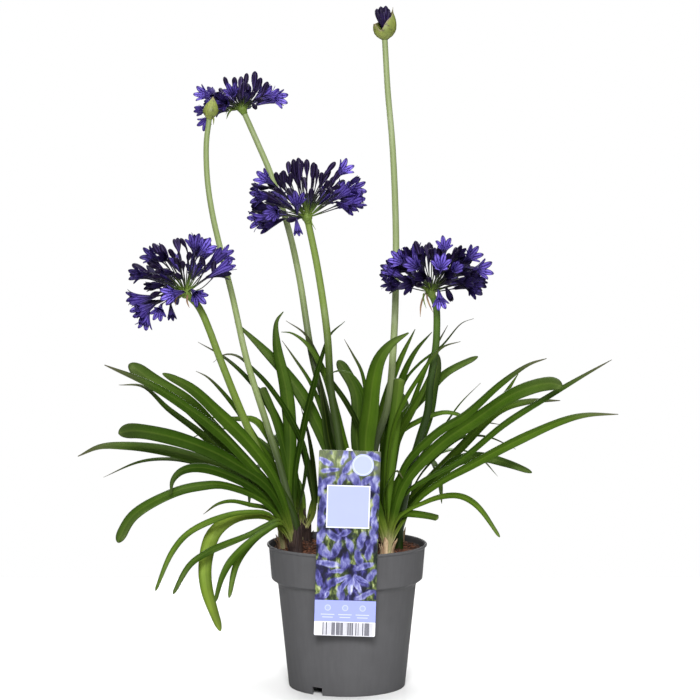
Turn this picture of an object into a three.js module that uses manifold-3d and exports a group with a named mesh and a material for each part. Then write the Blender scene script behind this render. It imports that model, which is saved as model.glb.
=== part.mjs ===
// Agapanthus (African lily) growing in its nursery pot.
// Millimetres, +Z up. The origin is the middle of the pot's base, and -Y is the front.
import * as THREE from 'three';
import { mergeVertices } from 'three/addons/utils/BufferGeometryUtils.js';
import Module from 'manifold-3d';

const wasm = await Module();
wasm.setup();

// ---------------------------------------------------------------- driving dimensions
const CLEARANCE = 0.3;          // air kept between touching pieces

const POT_RIM_RADIUS = 85;
const POT_HEIGHT = 152.5;
const POT_BASE_RADIUS = 62.3;
const POT_WALL = 1.6;
const POT_BAND_BOTTOM = 116;    // lower edge of the wide band under the rim
const POT_FLOOR_UNDERSIDE = 9.5;  // the floor is raised, the pot stands on its skirt
const POT_SIDES = 32;
const NOTCH_WIDTH = 12;         // drainage notches in the skirt
const NOTCH_HEIGHT = 8.5;
const NOTCH_ANGLES = [-120, 0, 120];
const DRAIN_RADIUS = 4.5;
const DRAIN_CIRCLE = 38;
const DRAIN_COUNT = 4;

const SOIL_TOP = 145;
const SOIL_SIDES = 22;
const SOIL_BUMP = 2.2;
const PLANT_BOTTOM = 121;       // how deep the stems and leaf fans stand in the soil
const HOLE_TOP = 156;           // above the highest soil round a stem or a fan
const STEM_UPRIGHT = 150;       // a stem stands nearly straight up to here
const SHEATH_TOP = 170;         // where the sheaths round each fan's foot end
const SHEATH_DEPTH = 9;         // the blades lie side by side over this much of the sheath

const LABEL = {
  width: 63, height: 193, thickness: 0.8,
  centre: [0.3, 165], roll: -1.75, frontAtRim: -85.9, lean: -0.045,
  stakeWidth: 12, stakeThickness: 1, stakeFoot: -70, stakeTip: 266,
};

const BLADE_STEP = 75;          // a blade's cross-sections lie this far apart where it is straight,
const BLADE_TURN = 26;          // and closer by as many degrees as this where it bends
const BLADE_THICKNESS = { foot: 2.4, tip: 1.1 };
const STEM_SIDES = 6;

const PEDICEL_RADIUS = 0.9;
const KNOB_RADIUS = 6.4;        // the swelling on a stem's top that carries the florets' stalks
const FLORET = { length: 28, foot: 1.5, spread: 10, notch: 6.6 };
const BUD = { length: 24, foot: 1.2, belly: 3.9 };
const CROWN = 0.62;             // below 1 the florets thin out towards a head's top
const GOLDEN_ANGLE = Math.PI * (3 - Math.sqrt(5));

// ---------------------------------------------------------------- the leaf fans
// A blade: [width, degrees turned on edge, tip, how far back its tip lies, [x, z] from foot to tip].
const FANS = [
  { name: 'leaf_fan_left_front', foot: [-54, -38], blades: [
    [15, 55, 'point', -78, [[-74, 205], [-101, 239], [-132, 273], [-167, 302], [-202, 326], [-248, 348]]],
    [16, 62, 'taper', -88, [[-76, 222], [-100, 260], [-133, 296], [-160, 323], [-188, 340]]],
    [16, 65, 'round', -100, [[-82, 214], [-120, 244], [-155, 263], [-189, 275], [-218, 281], [-232, 280]]],
    [13, 55, 'point', -100, [[-88, 206], [-126, 231], [-154, 240], [-170, 238], [-178, 230], [-179, 218]]],
    [12, 50, 'round', -112, [[-82, 197], [-126, 220], [-152, 221], [-178, 216], [-217, 195], [-232, 170]]],
    [6, 45, 'point', -70, [[-80, 192], [-101, 199], [-120, 204], [-134, 202], [-148, 193]]],
    [7, 45, 'taper', -125, [[-80, 189], [-100, 194], [-122, 193], [-160, 178], [-177, 160], [-193, 123]]],
    [15, 60, 'taper', -85, [[-82, 183], [-101, 188], [-120, 185], [-138, 171], [-146, 145], [-145, 119], [-130, 74]]],
    [8, 45, 'taper', -115, [[-70, 183], [-84, 179], [-100, 172], [-142, 156], [-160, 145], [-176, 118]]],
    [8, 45, 'taper', -144, [[-69, 180], [-83, 176], [-99, 167], [-118, 150], [-126, 137], [-132, 115]]],
    [8, 50, 'taper', -104, [[-71, 178], [-86, 173], [-100, 163], [-113, 144], [-120, 112]]],
  ] },
  { name: 'leaf_fan_left_side', foot: [-66, -9], blades: [
    [17, 75, 'round', -30, [[-79, 199], [-108, 236], [-139, 273], [-170, 305], [-206, 328], [-228, 345]]],
    [10, 45, 'point', -15, [[-84, 207], [-113, 235], [-139, 256], [-159, 273], [-189, 296], [-215, 320], [-240, 322]]],
    [15, 55, 'point', -45, [[-81, 196], [-128, 230], [-159, 244], [-194, 254], [-230, 259], [-258, 259], [-280, 250]]],
    [6, 35, 'point', -5, [[-90, 204], [-124, 225], [-162, 238], [-190, 242], [-220, 239], [-258, 223]]],
  ] },
  { name: 'leaf_fan_left_middle', foot: [-58, 22], blades: [
    [8, 40, 'point', 30, [[-77, 227], [-99, 261], [-122, 296], [-149, 326], [-162, 333]]],
    [8, 35, 'point', 34, [[-69, 259], [-83, 291], [-103, 320], [-130, 346], [-160, 364]]],
    [8, 35, 'point', 22, [[-47, 217], [-45, 246], [-60, 281], [-82, 315], [-99, 334], [-118, 350], [-131, 351], [-143, 343]]],
    [10, 60, 'point', 24, [[-66, 219], [-85, 264], [-100, 281], [-119, 282], [-148, 284]]],
    [9, 60, 'blunt', 24, [[-63, 206], [-66, 239], [-77, 282], [-91, 316]]],
    [15, 62, 'point', 27, [[-63, 214], [-61, 264], [-65, 313], [-75, 362], [-75, 387], [-68, 397]]],
    [9, 45, 'point', 22, [[-54, 226], [-45, 276], [-33, 325], [-26, 350], [-18, 372], [-2, 387]]],
  ] },
  { name: 'leaf_fan_left_back', foot: [-46, 48], blades: [
    [14, 10, 'point', 112, [[-62, 205], [-92, 248], [-130, 264], [-168, 254], [-185, 236]]],
    [14, 5, 'round', 146, [[-57, 205], [-66, 240], [-76, 254], [-82, 244], [-84, 222]]],
    [13, -5, 'point', 142, [[-34, 188], [-24, 204], [-16, 206], [-10, 188], [-6, 160]]],
    [12, 15, 'point', 80, [[-58, 215], [-74, 270], [-92, 305], [-106, 318]]],
    [12, 0, 'point', 128, [[-58, 195], [-80, 222], [-96, 222], [-106, 200], [-110, 172]]],
    [13, 0, 'round', 146, [[-50, 186], [-56, 204], [-62, 206], [-66, 186], [-68, 156]]],
    [8, 60, 'point', 54, [[-36, 180], [-39, 212], [-47, 245], [-58, 275], [-70, 298]]],
    [9, 70, 'point', 56, [[-34, 182], [-35, 225], [-41, 262], [-50, 292]]],
  ] },
  { name: 'leaf_fan_right_front', foot: [42, -42], blades: [
    [13, 50, 'point', -70, [[61, 237], [96, 275], [123, 292], [158, 325], [187, 347], [205, 354]]],
    [16, 65, 'round', -85, [[61, 220], [96, 261], [134, 289], [174, 317], [207, 328], [220, 326]]],
    [9, 50, 'point', -60, [[57, 204], [121, 247], [165, 284], [206, 311], [241, 333], [273, 352]]],
    [12, 50, 'point', -95, [[73, 201], [96, 222], [129, 242], [175, 268], [221, 290], [244, 297], [276, 299]]],
    [7, 60, 'taper', -140, [[55, 187], [84, 206], [101, 213], [115, 215], [126, 212], [136, 204], [153, 180]]],
    [8, 60, 'blunt', -80, [[51, 184], [61, 191], [70, 192], [85, 191], [94, 190]]],
    [6, 50, 'point', -60, [[40, 194], [38, 205], [43, 223], [52, 236], [58, 229]]],
    [22, 80, 'point', -46, [[28, 215], [22, 258], [26, 296], [29, 329], [35, 352], [46, 367], [64, 379]]],
    [13, 75, 'blunt', -38, [[43, 209], [46, 253], [50, 285], [55, 331]]],
    [8, 45, 'point', -62, [[43, 226], [47, 268], [56, 299], [73, 330], [98, 364], [117, 371]]],
    [9, 50, 'point', -28, [[28, 209], [22, 266], [16, 314], [4, 334], [-8, 338], [-20, 334]]],
  ] },
  { name: 'leaf_fan_right_side', foot: [54, 8], blades: [
    [12, 60, 'point', -5, [[67, 221], [99, 251], [130, 275], [156, 295], [181, 333]]],
    [13, 50, 'point', -20, [[66, 192], [90, 222], [120, 252], [161, 294], [191, 304], [224, 306]]],
    [12, 65, 'taper', -30, [[66, 188], [90, 215], [114, 239], [137, 246], [167, 240], [194, 231]]],
    [4, 45, 'point', -15, [[74, 216], [100, 248], [125, 266], [150, 266], [178, 254]]],
  ] },
  { name: 'leaf_fan_right_middle', foot: [34, 28], blades: [
    [12, 45, 'point', 32, [[29, 210], [31, 256], [45, 311], [58, 346], [73, 378]]],
    [7, 45, 'point', 34, [[46, 226], [70, 296], [91, 350], [108, 382]]],
    [11, 45, 'point', 30, [[39, 216], [48, 281], [61, 329], [74, 355], [91, 375]]],
    [4, 50, 'point', 38, [[46, 232], [61, 319], [76, 339], [102, 360], [123, 384], [136, 389]]],
    [13, 60, 'point', 28, [[44, 221], [54, 261], [69, 289], [82, 313], [89, 333]]],
    [10, 75, 'round', 34, [[52, 200], [64, 222], [80, 262], [89, 290], [93, 315], [96, 335], [95, 353]]],
    [12, 55, 'taper', 40, [[50, 226], [54, 256], [60, 279], [72, 294], [88, 311], [107, 330], [141, 348]]],
    [7, 45, 'point', 22, [[47, 227], [52, 250], [58, 267], [78, 280], [92, 286], [105, 289], [118, 287],
      [126, 283], [165, 276]]],
    [3, 45, 'point', 44, [[53, 204], [84, 247], [102, 269], [122, 297], [144, 319]]],
    [15, 62, 'point', 47, [[-2, 200], [-22, 250], [-45, 299], [-66, 329], [-93, 358], [-121, 385]]],
    [6, 60, 'point', 42, [[-4, 210], [-17, 258], [-38, 317], [-58, 348], [-70, 365]]],
    [7, 40, 'point', 50, [[27, 221], [15, 265], [-2, 299], [-23, 329], [-45, 371], [-66, 386]]],
    [9, 55, 'point', 46, [[5, 226], [-13, 290], [-24, 328], [-43, 361], [-60, 373], [-71, 374]]],
    [12, 60, 'point', 38, [[0, 205], [-18, 248], [-25, 291], [-29, 322]]],
  ] },
  { name: 'leaf_fan_right_back', foot: [36, 52], blades: [
    [6, 40, 'point', 62, [[27, 223], [23, 278], [16, 329], [6, 349], [-3, 365]]],
    [13, 60, 'round', 66, [[16, 212], [10, 260], [11, 285], [8, 310], [-10, 342]]],
    [14, 5, 'round', 147, [[40, 220], [46, 275], [52, 302], [60, 292], [66, 268]]],
    [14, 10, 'point', 118, [[60, 200], [90, 232], [118, 240], [146, 230], [168, 208]]],
    [11, 15, 'point', 84, [[46, 220], [56, 262], [66, 286], [76, 300]]],
    [12, 0, 'point', 130, [[52, 200], [76, 230], [92, 228], [102, 205], [106, 176]]],
    [13, 0, 'point', 147, [[34, 195], [34, 222], [36, 226], [40, 198], [44, 160]]],
  ] },
];

// ---------------------------------------------------------------- the flower stems
// Points run from the soil to the top; the radius is a pair, at the foot and at the top.
const STEMS = [
  { name: 'stem_low_left', radius: [4.6, 3.6], path: [
    [-50, -20, PLANT_BOTTOM], [-52, -20, STEM_UPRIGHT], [-55, -20, 180], [-75, -24, 221], [-92, -28, 252], [-110, -32, 294],
    [-133, -39, 354], [-143, -42, 382], [-150, -43, 399], [-156, -44, 409], [-164, -45, 417]] },
  { name: 'stem_closed_bud', radius: [3.9, 2.9], path: [
    [-49, 3, PLANT_BOTTOM], [-52, 3, STEM_UPRIGHT], [-57, 3, 177], [-70, 4, 229], [-87, 6, 284], [-106, 8, 345],
    [-122, 11, 416], [-134, 14, 463], [-143, 15, 503], [-148, 17, 538], [-149, 19, 576], [-146, 20, 601]] },
  { name: 'stem_high_left', radius: [4.2, 3.1], path: [
    [-14, 38, PLANT_BOTTOM], [-14, 39, STEM_UPRIGHT], [-14, 42, 193], [-18, 50, 267], [-38, 60, 347], [-52, 71, 432],
    [-64, 78, 485], [-84, 86, 546], [-96, 90, 574], [-113, 95, 612]] },
  { name: 'stem_centre', radius: [4.6, 3.6], path: [
    [-2, 1, PLANT_BOTTOM], [-3, 1, STEM_UPRIGHT], [-4, 0, 177], [-8, -3, 257], [-17, -4, 316], [-21, -6, 376],
    [-31, -8, 445], [-41, -10, 494]] },
  { name: 'stem_top_bud', radius: [4.3, 3.1], path: [
    [16, 8, PLANT_BOTTOM], [18, 8, STEM_UPRIGHT], [20, 8, 175], [31, 11, 258], [43, 12, 296], [50, 15, 373],
    [52, 17, 459], [51, 19, 515], [48, 21, 576], [43, 23, 633], [40, 25, 685]] },
  { name: 'stem_low_right', radius: [4.5, 3.6], path: [
    [54, -15, PLANT_BOTTOM], [55, -15, STEM_UPRIGHT], [56, -16, 174], [69, -25, 241], [76, -28, 267], [84, -32, 295],
    [87, -36, 328], [91, -40, 354], [93, -42, 376], [92, -47, 408], [88, -48, 418]] },
];

// ---------------------------------------------------------------- the flower heads
// reach is the distance from the stem's top to a floret's tip, on top and at the side of the head.
// Florets further than `open` degrees from the head's axis have opened, the others are in bud.
// A low floret leans out of the dome: where it joins its stalk, and which way it faces.
// A bract: [width, where it leaves the head's knob, tip].
const HEADS = [
  { name: 'head_low_left', stem: 'stem_low_left', axis: [-0.54, -0.05, 0.84],
    count: 30, spread: 88, open: 34, reach: [66, 60], droop: 0.1, seed: 3,
    low: [[[10, -14, -1], [0.6, -0.5, -0.3]], [[-18, -16, -12], [-0.6, -0.4, -0.6]]], bracts: [] },
  { name: 'head_high_left', stem: 'stem_high_left', axis: [-0.12, 0, 1],
    count: 28, spread: 86, open: 82, reach: [41, 50], droop: 0, seed: 9,
    low: [[[24, -4, 7], [0.9, -0.1, 0.2]], [[-26, -4, 3], [-0.9, -0.1, 0.1]], [[-16, -3, -5], [-0.8, 0, -0.5]]],
    bracts: [[6, [-6, -3, -2], [-17, -6, -11]]] },
  { name: 'head_centre', stem: 'stem_centre', axis: [-0.16, 0, 1],
    count: 36, spread: 82, open: 54, reach: [67, 66], droop: 0, seed: 5,
    low: [[[-34, -8, -3], [-1, -0.2, -0.05]], [[-6, -16, -3], [-0.3, -0.65, -0.75]], [[36, -8, 5], [0.95, -0.1, 0]]],
    bracts: [] },
  { name: 'head_low_right', stem: 'stem_low_right', axis: [0.12, 0, 1],
    count: 32, spread: 84, open: 34, reach: [58, 61], droop: 0.05, seed: 13,
    low: [[[2, -16, -2], [0.05, -0.7, -0.7]]],
    bracts: [[5, [-5, -5, -3], [-9, -9, -27]], [4, [-2, -7, -3], [1, -12, -24]]] },
];

// ---------------------------------------------------------------- finishes
const finish = (color, roughness) => new THREE.MeshStandardMaterial({ color, roughness, metalness: 0 });
const potGrey = finish(0x57575b, 0.45);
const soilBrown = finish(0x3a2118, 0.95);
const labelPrint = finish(0x7f86d8, 0.35);
const leafGreen = finish(0x3f6b2a, 0.5);
const stemGreen = finish(0x7fa055, 0.5);
const floretViolet = finish(0x3b2a8c, 0.6);
const spatheGreen = finish(0xa3b45a, 0.55);

// ---------------------------------------------------------------- solids, joined and cut
function solidFrom(points, triangles) {
  const volume = triangles.reduce((sum, [a, b, c]) => sum
    + new THREE.Vector3().crossVectors(points[b], points[c]).dot(points[a]), 0);
  const outward = volume > 0 ? triangles : triangles.map(([a, b, c]) => [a, c, b]);
  return new wasm.Manifold(new wasm.Mesh({
    numProp: 3,
    vertProperties: new Float32Array(points.flatMap((p) => [p.x, p.y, p.z])),
    triVerts: new Uint32Array(outward.flat()),
  }));
}

function solidFromGeometry(geometry) {
  geometry.deleteAttribute('normal');
  geometry.deleteAttribute('uv');
  const merged = mergeVertices(geometry, 1e-4);
  return new wasm.Manifold(new wasm.Mesh({
    numProp: 3,
    vertProperties: new Float32Array(merged.attributes.position.array),
    triVerts: new Uint32Array(merged.index.array),
  }));
}

// The joined body alone, without the sealed pockets and scraps that crossing blades may leave.
const largestBody = (solid) => solid.decompose().reduce((a, b) => (a.volume() > b.volume() ? a : b));
const unite = (solids) => largestBody(wasm.Manifold.union(solids));

// A loft through rings of points. Each ring has the same number of corners, and an end is closed
// by a flat cap or drawn to one point. The second half of a ring is split the other way, so that
// both faces of a thin blade fold along the same lines.
function loft(rings, { start = null, end = null } = {}) {
  const corners = rings[0].length;
  const points = rings.flat();
  const triangles = [];
  for (let row = 0; row < rings.length - 1; row += 1) {
    for (let i = 0; i < corners; i += 1) {
      const j = (i + 1) % corners;
      const [a, b, c, d] = [row * corners + i, row * corners + j,
        (row + 1) * corners + j, (row + 1) * corners + i];
      if (i < corners / 2) triangles.push([a, b, c], [a, c, d]);
      else triangles.push([a, b, d], [b, c, d]);
    }
  }
  const close = (first, apex, flip) => {
    if (apex) points.push(apex);
    for (let i = apex ? 0 : 1; i < (apex ? corners : corners - 1); i += 1) {
      const a = apex ? points.length - 1 : first;
      const [b, c] = [first + i, first + ((i + 1) % corners)];
      triangles.push(flip ? [a, c, b] : [a, b, c]);
    }
  };
  close(0, start, true);
  close((rings.length - 1) * corners, end, false);
  return solidFrom(points, triangles);
}

// ---------------------------------------------------------------- small geometry helpers
const vector = (x, y, z) => new THREE.Vector3(x, y, z);
const radians = THREE.MathUtils.degToRad;
const mix = THREE.MathUtils.lerp;
const UP = vector(0, 0, 1);

function noise(index, seed) {
  const value = Math.sin(index * 12.9898 + seed * 78.233) * 43758.5453;
  return value - Math.floor(value);
}

// Two directions square to `along`, the first as close as it can be to `hint`.
function across(along, hint) {
  const first = hint.clone().addScaledVector(along, -hint.dot(along)).normalize();
  return [first, vector(0, 0, 0).crossVectors(along, first)];
}

function ringRound(centre, along, radius, corners, hint, radiusDeep = radius, turn = 0) {
  const [u, v] = across(along, hint);
  return Array.from({ length: corners }, (_, i) => {
    const angle = turn + (2 * Math.PI * i) / corners;
    return centre.clone().addScaledVector(u, radius * Math.cos(angle))
      .addScaledVector(v, radiusDeep * Math.sin(angle));
  });
}

const smoothPath = (points) => new THREE.CatmullRomCurve3(points, false, 'centripetal');

// Where to put cross-sections along a curve: evenly, but closer together where it bends.
function stationsAlong(curve, last, fewest) {
  const samples = 80;
  const tangents = Array.from({ length: samples + 1 }, (_, i) => curve.getTangentAt((last * i) / samples));
  const effort = [0];
  for (let i = 1; i <= samples; i += 1) {
    const turn = THREE.MathUtils.radToDeg(tangents[i].angleTo(tangents[i - 1]));
    effort.push(effort[i - 1] + (curve.getLength() * last) / samples / BLADE_STEP + turn / BLADE_TURN);
  }
  const steps = Math.max(fewest, Math.round(effort[samples]));
  return Array.from({ length: steps + 1 }, (_, i) => {
    const wanted = (effort[samples] * i) / steps;
    const next = Math.max(1, effort.findIndex((value) => value >= wanted - 1e-9));
    const share = (wanted - effort[next - 1]) / (effort[next] - effort[next - 1]);
    return (last * (next - 1 + Math.min(1, share))) / samples;
  });
}

// ---------------------------------------------------------------- pot, soil and label
const notches = NOTCH_ANGLES.map((degrees) => radians(degrees));

function makePot() {
  const w = POT_WALL;
  const profile = [
    [0, POT_FLOOR_UNDERSIDE], [POT_BASE_RADIUS - 2.4, POT_FLOOR_UNDERSIDE], [POT_BASE_RADIUS - 1.8, 0],
    [POT_BASE_RADIUS - 0.6, 0], [POT_BASE_RADIUS, 3.5], [73.3, 108.5], [75, 112], [80, 115],
    [80.4, POT_BAND_BOTTOM + 1], [83, 149], [POT_RIM_RADIUS, 150.3], [POT_RIM_RADIUS, 151.8],
    [84.2, POT_HEIGHT], [83, POT_HEIGHT], [82, 151], [80.4 - w, POT_BAND_BOTTOM + 2.4],
    [73.6 - w, 112], [POT_BASE_RADIUS - w, POT_FLOOR_UNDERSIDE + w], [0, POT_FLOOR_UNDERSIDE + w],
  ].map(([r, z]) => new THREE.Vector2(r, z));
  const lathe = new THREE.LatheGeometry(profile, POT_SIDES);
  lathe.rotateX(Math.PI / 2);
  const holes = notches.map((angle) => {
    const box = new THREE.BoxGeometry(NOTCH_WIDTH, 12, 2 * NOTCH_HEIGHT);
    box.translate(0, -POT_BASE_RADIUS, 0);
    return solidFromGeometry(box.rotateZ(angle - radians(30)));
  });
  for (let i = 0; i < DRAIN_COUNT; i += 1) {
    const drain = new THREE.CylinderGeometry(DRAIN_RADIUS, DRAIN_RADIUS, 8, 10);
    drain.rotateX(Math.PI / 2);
    drain.translate(DRAIN_CIRCLE, 0, POT_FLOOR_UNDERSIDE);
    holes.push(solidFromGeometry(drain.rotateZ((2 * Math.PI * (i + 0.5)) / DRAIN_COUNT)));
  }
  return solidFromGeometry(lathe).subtract(wasm.Manifold.union(holes));
}

function soilHeight(x, y) {
  const mound = 3.5 * Math.exp(-((Math.abs(x) - 52) ** 2 + y * y) / 900);
  const lumps = Math.sin(x * 0.21 + 1.3) * Math.cos(y * 0.17 - 0.6) + 0.6 * Math.sin(x * 0.43 - y * 0.37);
  return SOIL_TOP + mound + SOIL_BUMP * 0.6 * lumps;
}

function makeSoil() {
  const bottom = POT_FLOOR_UNDERSIDE + POT_WALL + CLEARANCE;
  const circle = (radius, height) => Array.from({ length: SOIL_SIDES }, (_, i) => {
    const angle = (2 * Math.PI * i) / SOIL_SIDES;
    const [x, y] = [radius * Math.cos(angle), radius * Math.sin(angle)];
    return vector(x, y, height ?? soilHeight(x, y));
  });
  const inner = POT_BASE_RADIUS - POT_WALL - 3 * CLEARANCE;
  return loft([circle(inner, bottom), circle(71.2, 112), circle(77.6, 119.5), circle(78.6),
    circle(64), circle(46), circle(24)],
  { start: vector(0, 0, bottom), end: vector(0, 0, soilHeight(0, 0)) });
}

function makeLabel() {
  const slope = LABEL.lean;
  const [cx, cz] = LABEL.centre;
  const corner = (side, up, y) => {
    const angle = radians(LABEL.roll);
    const [dx, dz] = [(side * LABEL.width) / 2, (up * LABEL.height) / 2];
    const x = cx + dx * Math.cos(angle) - dz * Math.sin(angle);
    const z = cz + dx * Math.sin(angle) + dz * Math.cos(angle);
    return vector(x, LABEL.frontAtRim + slope * (z - POT_HEIGHT) + y, z);
  };
  const outline = [[-1, -1], [1, -1], [1, 1], [-1, 1]];
  const sheet = loft([outline.map(([s, u]) => corner(s, u, 0)),
    outline.map(([s, u]) => corner(s, u, -LABEL.thickness))]);
  const half = LABEL.stakeWidth / 2;
  const top = corner(0, 1, 0);
  const thick = LABEL.stakeThickness;
  const section = (x, y, z, scale) => [vector(x - half * scale, y, z), vector(x + half * scale, y, z),
    vector(x + half * scale, y + thick, z), vector(x - half * scale, y + thick, z)];
  const stake = loft([
    section(0, LABEL.stakeFoot, PLANT_BOTTOM, 0.35), section(0, LABEL.stakeFoot - 1.7, PLANT_BOTTOM + 12, 1),
    section(top.x, top.y - 0.4, top.z - 6, 1), section(top.x - 1, top.y - 0.4, LABEL.stakeTip, 0.5)]);
  return sheet.add(stake);
}

// ---------------------------------------------------------------- stems
function makeStem({ radius, path }) {
  const curve = smoothPath(path.map((p) => vector(...p)));
  return loft(stationsAlong(curve, 1, 6).map((t) => ringRound(curve.getPointAt(t), curve.getTangentAt(t),
    mix(radius[0], radius[1], t), STEM_SIDES, vector(1, 0, 0))));
}

function stemTop(name) {
  const points = STEMS.find((stem) => stem.name === name).path.map((p) => vector(...p));
  const curve = smoothPath(points);
  return { at: curve.getPoint(1), along: curve.getTangent(1) };
}

// ---------------------------------------------------------------- leaf fans
// The blades of a fan rise side by side out of its sheath, in the order in which their tips lie.
function bladePath(foot, blades, blade) {
  const [, , , tipDepth, points] = blade;
  const side = Math.sign(points[points.length - 1][0] - foot[0]);
  const rank = blades.filter((other) => other[3] < tipDepth).length / (blades.length - 1) - 0.5;
  const start = vector(foot[0] + 3 * side, foot[1] + SHEATH_DEPTH * rank, 152);
  return [start, ...points.map(([x, z], i) => {
    const share = ((i + 1) / points.length) ** 1.15;
    return vector(x, mix(start.y, tipDepth, share), z);
  })];
}

// A blade is narrow in its sheath and reaches its full width halfway along.
function bladeWidth(width, tip, t, length) {
  const sheathed = mix(0.38, 1, THREE.MathUtils.clamp((t * length - 20) / (0.5 * length), 0, 1) ** 0.85);
  if (tip === 'point') return width * sheathed * (1 - 0.92 * Math.max(0, (t - 0.5) / 0.5) ** 2.4);
  if (tip === 'blunt') return width * sheathed * (1 - 0.3 * Math.max(0, t - 0.7));
  const narrowing = tip === 'taper' ? 1 - 0.55 * Math.max(0, (t - 0.55) / 0.45) ** 2.2 : 1;
  const short = Math.min(1, ((1 - t) * length) / width);
  return width * sheathed * narrowing * Math.sqrt(1 - (1 - short) ** 2 * 0.9);
}

function makeBlade(foot, blades, blade) {
  const [width, edgeways, tip] = blade;
  const curve = smoothPath(bladePath(foot, blades, blade));
  const length = curve.getLength();
  const last = tip === 'blunt' ? 1 : 1 - 3 / length;
  const stations = stationsAlong(curve, last, 3);
  if (tip === 'round' || tip === 'taper') stations.splice(-1, 0, last - width / 2 / length);
  const ends = curve.getPoint(1).sub(curve.getPoint(0));
  const side = vector(-ends.y, ends.x, 0).normalize();
  const rings = stations.map((t) => {
    const [at, along] = [curve.getPointAt(t), curve.getTangentAt(t)];
    const topside = vector(0, 0, 0).crossVectors(along, side).normalize();
    const facing = vector(0, 0, 0).crossVectors(along, topside);
    if (facing.y > 0) facing.negate();
    const normal = topside.multiplyScalar(Math.cos(radians(edgeways)))
      .addScaledVector(facing, Math.sin(radians(edgeways)));
    const breadth = vector(0, 0, 0).crossVectors(along, normal)
      .multiplyScalar(bladeWidth(width, tip, t, length) / 2);
    const thick = mix(BLADE_THICKNESS.foot, BLADE_THICKNESS.tip, Math.min(1, t * 1.6)) / 2;
    const channel = breadth.length() * 0.16;
    const edge = (sign) => at.clone().addScaledVector(breadth, sign).addScaledVector(normal, channel);
    return [edge(-1), at.clone().addScaledVector(normal, thick), edge(1), at.clone().addScaledVector(normal, -thick)];
  });
  return loft(rings, tip === 'blunt' ? {} : { end: curve.getPoint(1) });
}

const footRing = ([x, y], z, wide, deep) => ringRound(vector(x, y, z), UP, wide, 10, vector(1, 0, 0), deep);

function makeFan({ foot, blades }) {
  const sheath = loft([footRing(foot, PLANT_BOTTOM, 8, 6), footRing(foot, 150, 8, 6),
    footRing(foot, SHEATH_TOP, 6, 4.4)]);
  return unite([sheath, ...blades.map((blade) => makeBlade(foot, blades, blade))]);
}

// ---------------------------------------------------------------- florets, buds and heads
// An open floret with its stalk: six pointed petals that spread from a narrow tube. The stalk runs
// from the root to the joint, where the floret starts and turns to the way that it faces.
function makeFloret(root, joint, facing, size) {
  const [u, v] = across(facing, vector(0.3, 0.2, 1));
  const corner = (t, radius, angle) => joint.clone().addScaledVector(facing, FLORET.length * size * t)
    .addScaledVector(u, radius * size * Math.cos(angle)).addScaledVector(v, radius * size * Math.sin(angle));
  const six = Array.from({ length: 6 }, (_, i) => (Math.PI * i) / 3);
  const three = [six[1], six[3], six[5]];
  const stalk = three.map((a) => root.clone().addScaledVector(u, PEDICEL_RADIUS * Math.cos(a))
    .addScaledVector(v, PEDICEL_RADIUS * Math.sin(a)));
  const points = [...six.map((a) => corner(1, FLORET.spread, a)),
    ...six.map((a) => corner(0.74, FLORET.notch, a + Math.PI / 6)),
    ...three.map((a) => corner(0, FLORET.foot, a)), corner(0.5, 0, 0), ...stalk];
  const [foot, heart, end] = [[12, 13, 14], 15, [16, 17, 18]];
  const triangles = [end];
  for (let i = 0; i < 6; i += 1) {
    const [tip, tipNext, notch, notchNext] = [i, (i + 1) % 6, 6 + i, 6 + ((i + 1) % 6)];
    const [third, next] = [Math.floor(i / 2), (Math.floor(i / 2) + 1) % 3];
    triangles.push([notch, tipNext, notchNext], [notch, tip, heart], [tipNext, notch, heart]);
    triangles.push([foot[third], notch, notchNext]);
    if (i % 2) {
      triangles.push([foot[third], notchNext, foot[next]]);
      triangles.push([foot[third], foot[next], end[next]], [foot[third], end[next], end[third]]);
    }
  }
  return solidFrom(points, triangles);
}

// A closed floret with its stalk: a slender club.
function makeBud(root, joint, facing, size) {
  const ring = (at, radius) => ringRound(at, facing, radius, 4, vector(0.3, 0.2, 1));
  const along = (t) => joint.clone().addScaledVector(facing, BUD.length * size * t);
  return loft([ring(root, PEDICEL_RADIUS), ring(joint, BUD.foot), ring(along(0.4), BUD.belly * 0.8 * size),
    ring(along(0.76), BUD.belly * size)], { end: along(1) });
}

// A narrow dry bract: a thin three-cornered strip that hangs from the stem's top.
function makeBract(from, [width, start, tip]) {
  const top = from.clone().add(vector(...start));
  const side = vector(width / 2, 0, 0);
  const thick = vector(0, 0.8, 0);
  return loft([[top.clone().sub(side), top.clone().sub(thick), top.clone().add(side), top.clone().add(thick)]],
    { end: from.clone().add(vector(...tip)), start: from.clone() });
}

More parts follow.
